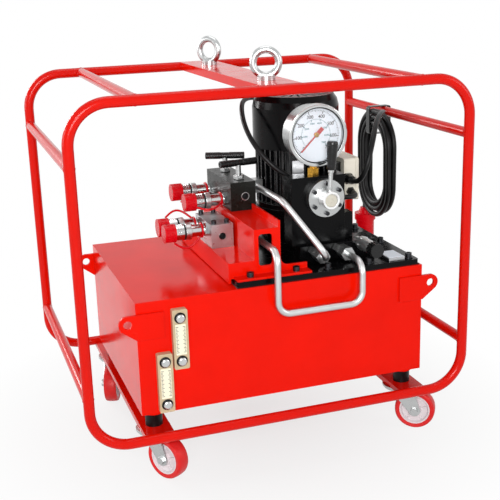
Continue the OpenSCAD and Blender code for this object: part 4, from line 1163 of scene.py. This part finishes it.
@dataclass(frozen=True)
class Gauge:
    """Print, rim and lens of the pressure gauge.

    Attributes:
        shop: Makes the meshes.
        centre: Middle of the gauge's front.
        dial_y: Where the dial's face lies.
        scales: The rings of print.
        steps: Numbered steps of the scale.
        minor: Ticks in a step.
        zero: Direction of the zero mark in degrees.
        sweep: Degrees of the scale.
        tick_long: Length of a numbered, a half and a plain tick.
        tick_wide: Width of a numbered and of any other tick.
        lift: How far ticks stand off the dial, and trim off the pointer, so that no faces share a plane.
        figure_lift: How far the middle of the figures stands off the dial.
        rim: Section of the rim.
        lens: Section of the lens.
        shade_ring: Section of a dark rubber ring under the lens's edge that paints the shadow line between
            rim and dial.
        pointer: Node and body of the pointer.
        tail: Size of the pointer's balance weight.
        tail_r: Distance of its middle from the pointer's axis.
        tail_corner: Radius of its corners.
        cap: Section of the pointer's hub cap.
    """

    shop: Workshop
    centre: Point = (110.0, -130.0, 559.0)
    dial_y: float = -119.5
    scales: tuple[Scale, ...] = (
        Scale(44.0, "black_ink", 100, 8.4, 11.0, 1.0),
        Scale(28.0, "teal_ink", 1000, 4.48, 7.5, 0.6),
    )
    steps: int = 7
    minor: int = 10
    zero: float = 225.0
    sweep: float = 270.0
    tick_long: Point = (6.0, 4.2, 2.6)
    tick_wide: tuple[float, float] = (1.3, 0.7)
    lift: float = 0.02
    figure_lift: float = 0.03
    rim: Profile = (
        (48.6, -1.0), (49.2, 0.4), (51.0, 1.0), (53.6, 0.9), (54.6, 0.2), (54.9, -1.0), (54.9, -3.0),
        (48.6, -3.0), (48.6, -1.0),
    )
    lens: Profile = ((0.0, -3.2), (48.6, -3.2), (48.8, -2.2), (48.6, -1.4), (0.0, -1.2))
    shade_ring: Profile = ((47.2, -1.25), (48.7, -1.25), (48.7, -0.6), (47.2, -0.9), (47.2, -1.25))
    pointer: str = "gauge_pointer"
    tail: Point = (13, 7.5, 0.5)
    tail_r: float = 9.5
    tail_corner: float = 0.8
    cap: Profile = ((0.0, 0.0), (4.6, 0.0), (4.6, 0.5), (4.1, 0.9), (0.0, 1.0))

    def _face(self, angle: float, radius: float, lift: float) -> Matrix:
        """Gives a place on the dial, facing the front.

        Args:
            angle: Degrees clockwise from the zero mark, which is down to the left.
            radius: Distance from the middle in millimetres.
            lift: Height above the dial in millimetres.

        Returns:
            The place, upright, in metres.
        """
        a = math.radians(self.zero - angle)
        x, _, z = self.centre
        at = (x + radius * math.cos(a), self.dial_y - lift, z + radius * math.sin(a))
        return placed(at, Axis.FRONT.value)

    def build(self) -> None:
        """Prints the dial and closes it with a lens."""
        for ring, scale in enumerate(self.scales):
            self._ticks(ring, scale)
            for k in range(self.steps + 1):
                angle = self.sweep * k / self.steps
                place = self._face(angle, scale.outer - scale.figure_in, self.figure_lift)
                figure = str(k * scale.unit)
                piece = self.shop.words(f"dial_figure_{ring}_{k}", figure, scale.figure_mm, place, scale.ink)
                settle(piece)
        for name, profile, finish, sides, slot in (
            ("gauge_rim", self.rim, "polished_chrome", 128, "zinc_steel"),
            ("gauge_lens", self.lens, "clear_lens", 96, "gauge_glass"),
            # A dark ring under the lens's edge: painted shade for the shadow line between rim and dial.
            ("gauge_gasket", self.shade_ring, "moulded_rubber", 128, "black_rubber"),
        ):
            settle(self.shop.lathe(name, profile, self.centre, Axis.FRONT.value, finish, sides))
        self._tail()

    def _ticks(self, ring: int, scale: Scale) -> None:
        """Prints the ticks of one ring.

        Args:
            ring: The ring's number.
            scale: Its print.
        """
        count = self.steps * self.minor
        for k in range(count + 1):
            major, half = k % self.minor == 0, k % (self.minor // 2) == 0
            long = self.tick_long[0 if major else 1 if half else 2] * scale.tick_share
            angle = self.sweep * k / count
            turn = Matrix.Rotation(math.radians(self.zero - angle), 4, "Z")
            place = self._face(angle, scale.outer - long / 2, self.lift) @ turn
            size = (long, self.tick_wide[0 if major else 1], INK_T)
            settle(self.shop.plate(f"dial_tick_{ring}_{k}", size, place, INK_CORNER, scale.ink))

    def _tail(self) -> None:
        """Sets the pointer's red balance weight and its brass hub cap on the pointer."""
        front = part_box(self.pointer)[0][1] / MM - self.lift
        at = (self.centre[0], front, self.centre[2])
        away = Matrix.Rotation(math.radians(self.zero - 180), 4, "Z")
        place = placed(at, Axis.FRONT.value) @ away @ placed((self.tail_r, 0, 0))
        tail = self.shop.plate("pointer_tail", self.tail, place, self.tail_corner, "red_lacquer")
        cap = self.shop.lathe("pointer_cap", self.cap, at, Axis.FRONT.value, "turned_brass", sides=40)
        for piece in (tail, cap):
            settle(piece, self.pointer)


@dataclass(frozen=True)
class Handles:
    """The valve's lever and the two shut-off handles.

    Attributes:
        shop: Makes the meshes.
        valve_c: Middle of the valve flange's seat.
        flange_t: Thickness of the flange.
        hub_gap: Gap between the flange and the lever's hub.
        hub_h: Height of the lever's hub.
        lean: Lean of the lever in degrees.
        rod: Section of the lever's rod with its collar.
        grip: Section of the lever's grip.
        crosses: Body, place and turn of each T-handle.
        cross_x: Place of the T-handles from left to right.
        cross_z: Height of their bars.
        block_top: Height of the block under them.
        stem: Section of a T-handle's stem.
        nut: Section of the nut round it.
        bar: Section of a T-handle's bar.
    """

    shop: Workshop
    valve_c: Point = (120.0, -128.0, 448.0)
    flange_t: float = 14.0
    hub_gap: float = 0.3
    hub_h: float = 22.0
    lean: float = 4.0
    rod: Profile = ((4.0, 10.0), (4.0, 48.0), (5.4, 49.0), (5.4, 53.0), (4.0, 54.0))
    grip: Profile = (
        (0.0, 53.4), (7.0, 53.5), (7.7, 54.4), (8.0, 60.0), (8.7, 75.0), (9.4, 90.0), (9.8, 98.0),
        (9.7, 100.8), (9.1, 102.4), (7.9, 103.2), (4.0, 103.6), (0.0, 103.7),
    )
    crosses: tuple[tuple[Body, float, float], ...] = ((Body.FRONT_T, -14.0, 8.0), (Body.REAR_T, 66.0, -22.0))
    cross_x: float = -1.0
    cross_z: float = 501.0
    block_top: float = 470.0
    stem: Profile = ((4.95, -16.0), (4.95, 0.3), (4.95, 31.0), (0.0, 31.0))
    nut: Profile = ((5.0, 0.3), (9.6, 0.3), (10.0, 1.0), (10.0, 7.4), (9.4, 8.3), (5.0, 8.3))
    bar: Profile = (
        (0.0, -34.5), (2.5, -34.5), (2.5, -37.4), (5.6, -37.4), (6.5, -36.5), (6.5, -9.0), (6.1, -8.4),
        (6.1, 8.4), (6.5, 9.0), (6.5, 36.5), (5.6, 37.4), (2.5, 37.4), (2.5, 34.5), (0.0, 34.5),
    )

    def build(self) -> None:
        """Builds every hand control."""
        self._lever()
        for body, y, turn in self.crosses:
            self._cross_bar(body, y, turn)

    def _lever(self) -> None:
        """Builds hub, insert, rod and grip of the valve's lever."""
        x, y, z = self.valve_c
        face = (x, y - self.flange_t - self.hub_gap, z)
        rod_at = (x, y - self.flange_t - self.hub_h / 2, z)
        top = self.hub_h
        hub: Profile = (
            (8.0, -33.0), (8.0, 0.0), (15.2, 0.0), (16.0, 0.8), (16.0, top - 1.0), (15.2, top), (12.4, top),
            (11.5, top - 0.9), (11.5, top - 3.0), (0.0, top - 3.0),
        )
        insert: Profile = (
            (0.0, top - 2.9), (11.2, top - 2.9), (11.2, top - 1.8), (10.4, top - 1.2), (3.2, top - 1.2),
            (2.6, top - 2.0), (0.0, top - 2.0),
        )
        lean = Matrix.Rotation(math.radians(self.lean), 4, "Y")
        for name, profile, at, axis, finish, slot in (
            ("lever_hub", hub, face, Axis.FRONT.value, "bright_nickel", "zinc_steel"),
            ("lever_insert", insert, face, Axis.FRONT.value, "grey_acetal", "zinc_steel"),
            ("lever_rod", self.rod, rod_at, lean, "zinc_plated_steel", "zinc_steel"),
            ("lever_grip", self.grip, rod_at, lean, "black_phenolic", "black_plastic"),
        ):
            piece = self.shop.lathe(name, profile, at, axis, finish)
            settle(piece, Body.LEVER.value)
            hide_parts("valve_lever")

    def _cross_bar(self, body: Body, y: float, turn: float) -> None:
        """Builds one T-handle.

        Args:
            body: Its body.
            y: Its place.
            turn: Its bar's turn in degrees.
        """
        foot, head = (self.cross_x, y, self.block_top), (self.cross_x, y, self.cross_z)
        across = Matrix.Rotation(math.radians(turn), 4, "Z") @ Axis.RIGHT.value
        for name, profile, at, axis, finish, sides in (
            ("stem", self.stem, foot, Axis.UP.value, "zinc_plated_steel", 32),
            ("nut", self.nut, foot, Axis.UP.value, "zinc_plated_steel", 6),
            ("bar", self.bar, head, across, KNURLED, 48),
        ):
            piece = self.shop.lathe(f"{body.value}_{name}", profile, at, axis, finish, sides, sharp=25.0)
            settle(piece, body.value)
            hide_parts(body.value)


@dataclass(frozen=True)
class Couplers:
    """Straps of the dust caps, and the turned detail of couplers and caps.

    Attributes:
        shop: Makes the meshes.
        seats: Name, seat and strap turn of each coupler.
        sleeve_d: Diameter of a sleeve.
        cap_d: Diameter of a cap.
        length: Length of a coupler.
        ring_z: Where a strap's ring sits.
        ring: Section of that ring.
        strap_d: Diameter of a strap.
        strap_bow: How far a strap bows out.
        strap_start: How far a strap's line starts off the sleeve's face, and past its ring's seat.
        strap_end: How far it ends off the cap's face, and past the coupler's end.
        strap_steps: Steps along a strap.
        collar: Section of the collar on a sleeve.
        seal: Section of the dark ring beside it.
        bands: Grip bands on a sleeve.
        band_z: Where the first band lies.
        band_pitch: Step from band to band.
        band: Section of a band about its middle.
        ribs: Ribs round a cap.
        rib: Length, width and height of a rib.
        rib_r: Distance of a rib's foot from the cap's axis.
        rib_z: Distance of a rib's middle from the coupler's end.
        rib_corner: Radius of a rib's corners.
    """

    shop: Workshop
    seats: tuple[tuple[str, Point, float], ...] = (
        ("upper_front", (-26, -6, 434), 110), ("upper_rear", (-26, 88, 434), 180),
        ("lower_front", (-77, -48, 391), 180), ("lower_rear", (-77, -1, 391), -35),
    )
    sleeve_d: float = 28.0
    cap_d: float = 33.0
    length: float = 58.0
    ring_z: float = 8.0
    ring: Profile = (
        (9.2, 8.0), (13.2, 8.0), (14.0, 8.8), (14.0, 10.8), (13.2, 11.5), (9.2, 11.5), (9.2, 8.0),
    )
    strap_d: float = 4.0
    strap_bow: float = 15.0
    strap_start: tuple[float, float] = (-2.0, 3.5)
    strap_end: tuple[float, float] = (2.2, 2.5)
    strap_steps: int = 32
    collar: Profile = ((13.6, 30.2), (14.5, 30.2), (15.0, 30.8), (15.0, 39.0), (14.5, 39.6), (13.6, 39.6))
    seal: Profile = ((13.6, 40.6), (14.2, 40.8), (14.2, 43.4), (13.6, 43.6))
    bands: int = 3
    band_z: float = 46.0
    band_pitch: float = 3.6
    band: Profile = ((13.9, -1.2), (14.5, -0.7), (14.5, 0.7), (13.9, 1.2))
    ribs: int = 20
    rib: Point = (10.8, 2.0, 1.1)
    rib_r: float = 15.3
    rib_z: float = 10.7
    rib_corner: float = 0.5

    def build(self) -> None:
        """Dresses every coupler."""
        for name, at, turn in self.seats:
            self._strap(name, at, turn)
            self._turned(name, at)

    def _strap(self, name: str, at: Point, turn: float) -> None:
        """Hangs one strap from its ring to its cap.

        Args:
            name: Which coupler.
            at: The coupler's seat in millimetres.
            turn: The strap's side, in degrees round the coupler.
        """
        place = placed(at, Matrix.Rotation(math.radians(turn), 4, "X") @ Axis.LEFT.value)
        start = Vector((self.sleeve_d / 2 + self.strap_start[0], 0, self.ring_z + self.strap_start[1]))
        end = Vector((self.cap_d / 2 + self.strap_end[0], 0, self.length + self.strap_end[1]))
        line: list[Vector] = []
        for k in range(self.strap_steps + 1):
            f = k / self.strap_steps
            bow = Vector((self.strap_bow * math.sin(math.pi * f), 0, 0))
            line.append(place @ ((start.lerp(end, f) + bow) * MM))
        strap = self.shop.tube(f"cap_strap_{name}", line, self.strap_d / 2 * MM, "red_polyethylene", sides=12)
        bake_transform(strap)
        LOG.info("%s between %s and cap_%s", strap.name, Body.BASE.value, name)
        hoop = self.shop.lathe(
            f"strap_ring_{name}", self.ring, at, Axis.LEFT.value, "red_polyethylene", sides=48
        )
        settle(hoop)
        for piece in (strap, hoop):
            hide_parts("cap_lanyards")

    def _turned(self, name: str, at: Point) -> None:
        """Adds a sleeve's grip rings and a cap's ribs.

        Args:
            name: Which coupler.
            at: The coupler's seat in millimetres.
        """
        rings: list[tuple[str, Profile, str]] = [
            (f"sleeve_collar_{name}", self.collar, "zinc_plated_steel"),
            (f"sleeve_seal_{name}", self.seal, "oily_thread"),
        ]
        for k in range(self.bands):
            z = self.band_z + self.band_pitch * k
            band = [(r, z + half) for r, half in self.band]
            rings.append((f"sleeve_band_{name}_{k}", band, "polished_chrome"))
        for ring, profile, finish in rings:
            settle(self.shop.lathe(ring, profile, at, Axis.LEFT.value, finish))
        seat = placed(at, Axis.LEFT.value)
        foot = placed((self.rib_r, 0, self.length + self.rib_z), Axis.RIGHT.value)
        for k in range(self.ribs):
            place = seat @ Matrix.Rotation(2 * math.pi * k / self.ribs, 4, "Z") @ foot
            rib = f"cap_rib_{name}_{k}"
            piece = self.shop.plate(rib, self.rib, place, self.rib_corner, "red_polyethylene")
            settle(piece, f"cap_{name}")


@dataclass(frozen=True)
class Pipes:
    """The two bent steel pipes.

    Attributes:
        shop: Makes the meshes.
        pipe_d: Diameter of a pipe in millimetres.
        bend: Bend radius.
        bend_steps: Steps in a bend.
        sides: Steps round a pipe.
        pressure: Corners of the pressure pipe.
        back: Corners of the return pipe.
    """

    shop: Workshop
    pipe_d: float = 12.0
    bend: float = 22.0
    bend_steps: int = 14
    sides: int = 32
    pressure: tuple[Point, ...] = ((100, -173, 350), (100, -209, 350), (34, -151, 453), (34, -14, 453))
    back: tuple[Point, ...] = (
        (148, -173, 350), (148, -230, 350), (148, -230, 277), (-8, -230, 277), (-8, -230, 387),
        (-8, -31, 387), (-31, -31, 387),
    )

    @staticmethod
    def rounded(points: Sequence[Vector], bend: float, steps: int) -> list[Vector]:
        """Rounds a route's corners.

        Args:
            points: Corners in metres.
            bend: Bend radius in metres.
            steps: Steps in a bend.

        Returns:
            The route.
        """
        out = [points[0]]
        for a, b, c in zip(points, points[1:], points[2:]):
            u, v = (b - a).normalized(), (c - b).normalized()
            turn = u.angle(v)
            centre = b + (v - u).normalized() * (bend / math.cos(turn / 2))
            i = (b - u * (bend * math.tan(turn / 2)) - centre).normalized()
            for k in range(steps + 1):
                f = turn * k / steps
                out.append(centre + (i * math.cos(f) + u * math.sin(f)) * bend)
        out.append(points[-1])
        return out

    def build(self) -> None:
        """Sweeps both pipes."""
        for name, points in (("pressure_pipe", self.pressure), ("return_pipe", self.back)):
            route = self.rounded(scaled(points), self.bend * MM, self.bend_steps)
            piece = self.shop.tube(name, route, self.pipe_d / 2 * MM, "drawn_steel_tube", self.sides)
            settle(piece)
            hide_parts("pressure_pipes")


@dataclass(frozen=True)
class Trim:
    """Small fixed details: weld beads, ear webs, bare plates, lid screws, level scales and open ports.

    Attributes:
        shop: Makes the meshes.
        side_x: Place of the hoops' side tubes.
        hoop_y: Place of the hoops.
        tube_r: Radius of the cage's tube.
        welds: Place of each cross tube, from left to right and in height.
        bead_r: Radius of a weld bead.
        bead_ripple: How far that radius ripples.
        bead_in: How far a bead sinks into the hoop's tube.
        bead_share: A bead's ring as a share of the tube's radius.
        bead_steps: Steps round a bead's ring.
        bead_sides: Sides of a bead's section.
        ear_r: Radius of a tie-down ear's round end.
        ear_t: Thickness of a tie-down ear.
        web_gap: How much thinner than the ear its web is.
        web_lap: How far a web overlaps its ear.
        motor_plate: Size of the motor's rating plate.
        plate_corner: Radius of its corners.
        motor_plate_c: Where the motor's axis crosses the height of its rating plate.
        motor_plate_turn: Turn of the rating plate about that axis, in degrees.
        motor_fin_r: Radius over the motor's fins, where the plate sits.
        cover_plates: Name, size, place, corner, finish and slot of each plate on the cover.
        lid_x: Face of the terminal box's lid.
        lid_screws: Place of each lid screw on that face.
        screw: Section of a lid screw's head.
        levels: Middle of each level gauge.
        level_y: Front of the level gauges.
        level_pitch: Distance between a level gauge's bolts.
        card: Size of the card behind a level gauge's window.
        card_corner: Radius of its corners.
        card_lift: How far it stands off the gauge's front.
        level_ticks: Ticks on each side of a card.
        tick_pitch: Distance between two ticks.
        tick_out: Distance of the ticks' outer ends from the card's middle.
        tick_long: Length of every third tick and of the others.
        tick_wide: Width of a tick.
        tick_lift: How far ticks stand off the gauge's front.
        washer: Section of the sealing ring under a bolt.
        dome: Section of a bolt's domed top.
        ports: Mouth of each open port.
        thread_r: Crest and root of a port's thread.
        thread_pitch: Distance from crest to root along a port.
        thread_steps: Crests and roots in a port.
        thread_z: Where a thread starts and where its bottom lies, along a port.
        port_mouth: Section of the bare ring round a port.
    """

    shop: Workshop
    side_x: float = 341.0
    hoop_y: float = 244.0
    tube_r: float = 9.0
    welds: tuple[tuple[float, float], ...] = (
        (-235.0, 657.0), (250.0, 657.0), (-341.0, 561.0), (341.0, 561.0), (-341.0, 185.0), (341.0, 185.0),
    )
    bead_r: float = 1.0
    bead_ripple: float = 0.2
    bead_in: float = 0.6
    bead_share: float = 0.97
    bead_steps: int = 96
    bead_sides: int = 8
    ear_r: float = 15.0
    ear_t: float = 5.0
    web_gap: float = 0.1
    web_lap: float = 1.0
    motor_plate: Point = (21, 32, 1.2)
    plate_corner: float = 2.0
    motor_plate_c: Point = (123.0, 10.0, 488.0)
    motor_plate_turn: float = -19.0
    motor_fin_r: float = 77.2
    cover_plates: tuple[tuple[str, Point, Point, float, str, str], ...] = (
        ("cover_plate_label", (32, 46, 6.0), (230, -178, 335.2), 2, "milled_aluminium", "aluminium"),
        ("cover_plate_card", (29, 43, 0.4), (230, -178, 341.25), 1, "white_printed_tin", "white_dial"),
    )
    lid_x: float = 232.0
    lid_screws: tuple[tuple[int, int], ...] = ((-28, 420), (-28, 486), (48, 420), (48, 486))
    screw: Profile = ((0.0, 0.0), (3.2, 0.0), (3.4, 0.6), (3.0, 1.6), (1.6, 2.1), (0.0, 2.2))
    levels: tuple[tuple[float, float], ...] = ((-178.0, 256.0), (-207.0, 182.0))
    level_y: float = -222.0
    level_pitch: float = 76.0
    card: Point = (18, 54, 0.5)
    card_corner: float = 1.5
    card_lift: float = 0.02
    level_ticks: int = 19
    tick_pitch: float = 2.5
    tick_out: float = 8.2
    tick_long: tuple[float, float] = (4.6, 2.8)
    tick_wide: float = 0.9
    tick_lift: float = 0.53
    washer: Profile = ((4.2, 0.0), (9.6, 0.0), (9.8, 0.5), (9.0, 1.3), (7.9, 1.7), (4.2, 1.7))
    dome: Profile = ((0.0, 4.7), (7.1, 4.7), (6.6, 5.4), (4.8, 6.1), (0.0, 6.4))
    ports: tuple[Point, ...] = ((1.84, -42.0, 443.0), (-56.5, -81.0, 384.0))
    thread_r: tuple[float, float] = (5.9, 6.5)
    thread_pitch: float = 0.75
    thread_steps: int = 20
    thread_z: tuple[float, float] = (-0.4, -15.2)
    port_mouth: Profile = ((6.5, -0.4), (6.5, 0.05), (7.6, 0.05), (7.6, -0.3))

    def build(self) -> None:
        """Adds every small fixed detail."""
        self._welds()
        self._ear_webs()
        self._plates()
        self._box_screws()
        for i, (x, z) in enumerate(self.levels):
            self._level(i, x, z)
        self._ports()

    def _welds(self) -> None:
        """Lays a rippled bead round each cross tube's end, where it meets a hoop's tube."""
        for i, (x, z) in enumerate(self.welds):
            for side, letter in ((-1, "f"), (1, "r")):
                line: list[Vector] = []
                for k in range(self.bead_steps + 1):
                    a = 2 * math.pi * k / self.bead_steps
                    across, along = self.tube_r * math.cos(a), self.tube_r * math.sin(a)
                    other = along if abs(x) < self.side_x else across
                    depth = math.sqrt(max(0.0, self.tube_r**2 - other**2))
                    y = side * (self.hoop_y - depth - self.bead_in)
                    line.append(Vector((x + across * self.bead_share, y, z + along * self.bead_share)) * MM)
                settle(self._bead(f"weld_bead_{i}_{letter}", line))

    def _bead(self, name: str, line: Sequence[Vector]) -> bpy.types.Object:
        """Sweeps a bead whose thickness ripples.

        Args:
            name: Piece name.
            line: Its closed line, which ends where it starts.

        Returns:
            The bead.
        """
        sides = self.bead_sides
        count = len(line) - 1
        verts: list[Vector] = []
        faces: list[tuple[int, ...]] = []
        for i in range(count):
            j = (i + 1) % count
            along = (line[j] - line[i - 1]).normalized()
            out = along.cross(Vector((0, 1, 0))).normalized()
            up = along.cross(out)
            radius = (self.bead_r + self.bead_ripple * math.sin(i * math.pi / 2)) * MM
            for k in range(sides):
                a = 2 * math.pi * k / sides
                n = (k + 1) % sides
                verts.append(line[i] + (out * math.cos(a) + up * math.sin(a)) * radius)
                faces.append((i * sides + k, i * sides + n, j * sides + n, j * sides + k))
        # Beads take the tubes' darker copy of the red enamel: painted shade.
        return self.shop.mesh(name, verts, faces, "red_tube_enamel", 60.0)

    def _ear_webs(self) -> None:
        """Fills the corner under each tie-down ear with a sloped web that runs out on its round end."""
        low, high = (Vector(corner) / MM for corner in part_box("tie_down_ears"))
        r = self.ear_r
        # A line from the web's foot touches the round end at this angle below the middle.
        slope = math.atan2(4, 3)
        arc = [-slope - (math.pi / 2 - slope) * k / 6 for k in range(7)]
        rim = [(r + r * math.cos(a), r * math.sin(a)) for a in arc]
        corner = [(0.0, -2 * r), *rim, (0.0, self.web_lap - r)]
        for end, end_name in ((-1, "l"), (1, "r")):
            outline = [(end * u, v) for u, v in corner][::end]
            x = (high.x if end > 0 else low.x) - end * 2 * r
            for face, face_name in ((-1, "f"), (1, "r")):
                y = (high.y if face > 0 else low.y) - face * self.ear_t / 2
                place = placed((x, y, high.z - r), Axis.FRONT.value)
                thick = self.ear_t - self.web_gap
                web = self.shop.slab(f"ear_web_{face_name}{end_name}", outline, thick, place, "red_enamel")
                settle(web)

    def _plates(self) -> None:
        """Sets the bare rating plates on motor and cover."""
        round_motor = math.radians(self.motor_plate_turn)
        turn = Matrix.Rotation(round_motor, 4, "Z") @ Axis.FRONT.value
        out = Vector((math.sin(round_motor), -math.cos(round_motor), 0)) * self.motor_fin_r
        place = placed(Vector(self.motor_plate_c) + out, turn)
        plate = self.shop.plate("motor_plate", self.motor_plate, place, self.plate_corner, "milled_aluminium")
        settle(plate)
        for name, size, at, corner, finish, slot in self.cover_plates:
            settle(self.shop.plate(name, size, placed(at), corner, finish))

    def _box_screws(self) -> None:
        """Adds the lid screws of the terminal box."""
        for y, z in self.lid_screws:
            name, at = f"box_screw_{y}_{z}".replace("-", "m"), (self.lid_x, y, z)
            head = self.shop.lathe(name, self.screw, at, Axis.RIGHT.value, "zinc_plated_steel", sides=32)
            settle(head)

    def _level(self, i: int, x: float, z: float) -> None:
        """Sets a pale scale card behind a window, its ticks, and a sealing ring under each bolt.

        Args:
            i: The level gauge's number.
            x: Its middle from left to right.
            z: Its middle's height.
        """
        place = placed((x, self.level_y - self.card_lift, z), Axis.FRONT.value)
        card = self.shop.plate(f"level_card_{i}", self.card, place, self.card_corner, "ivory_scale_card")
        settle(card)
        lowest = z - self.tick_pitch * (self.level_ticks - 1) / 2
        for side, letter in ((-1, "l"), (1, "r")):
            for k in range(self.level_ticks):
                long = self.tick_long[0 if k % 3 == 0 else 1]
                across = x + side * (self.tick_out - long / 2)
                at = (across, self.level_y - self.tick_lift, lowest + self.tick_pitch * k)
                place, size = placed(at, Axis.FRONT.value), (long, self.tick_wide, INK_T)
                tick = self.shop.plate(f"level_tick_{i}{letter}_{k}", size, place, INK_CORNER, "black_ink")
                settle(tick)
        for end, letter in ((-1, "b"), (1, "t")):
            at = (x, self.level_y, z + end * self.level_pitch / 2)
            for name, profile, finish, slot in (
                ("washer", self.washer, "moulded_rubber", "black_rubber"),
                ("dome", self.dome, "polished_chrome", "zinc_steel"),
            ):
                full = f"level_{name}_{i}{letter}"
                settle(self.shop.lathe(full, profile, at, Axis.FRONT.value, finish, sides=40))

    def _ports(self) -> None:
        """Sets a dark thread into each open port."""
        start, bottom = self.thread_z
        thread = [(self.thread_r[k % 2], start - self.thread_pitch * k) for k in range(self.thread_steps)]
        thread.append((0.0, bottom))
        for i, at in enumerate(self.ports):
            for name, profile, finish, sharp in (
                ("thread", thread, "oily_thread", 60.0),
                ("mouth", self.port_mouth, "zinc_plated_steel", 35.0),
            ):
                piece = self.shop.lathe(f"port_{name}_{i}", profile, at, Axis.FRONT.value, finish, 48, sharp)
                settle(piece)


def dress_nodes(frame: dict, kit: MaterialKit) -> None:
    """Gives every CAD node its procedural material.

    Args:
        kit: The materials.
    """
    slots = {s["node"]: s["material_slot"] for s in frame["record"]["subparts"]}
    for name, node in frame["nodes"].items():
        node.data.materials.clear()
        node.data.materials.append(kit.get(NODE_FINISH.get(name) or SLOT_FINISH[slots[name]]))


def main() -> None:
    """Builds the sub-assemblies in order."""
    logging.basicConfig(level=logging.INFO)
    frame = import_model()
    studio = Studio()
    studio.camera()
    kit = MaterialKit()
    shop = Workshop(kit)
    dress_nodes(frame, kit)
    Cords(shop).build(frame["nodes"]["power_plug"], frame["nodes"]["cord_tie"])
    steps: tuple[Callable[[], None], ...] = (
        Wheels(shop).build, Gauge(shop).build, Handles(shop).build, Couplers(shop).build, Pipes(shop).build,
        Trim(shop).build, studio.floor, studio.light,
    )
    for build in steps:
        build()


if __name__ == "__main__":
    main()
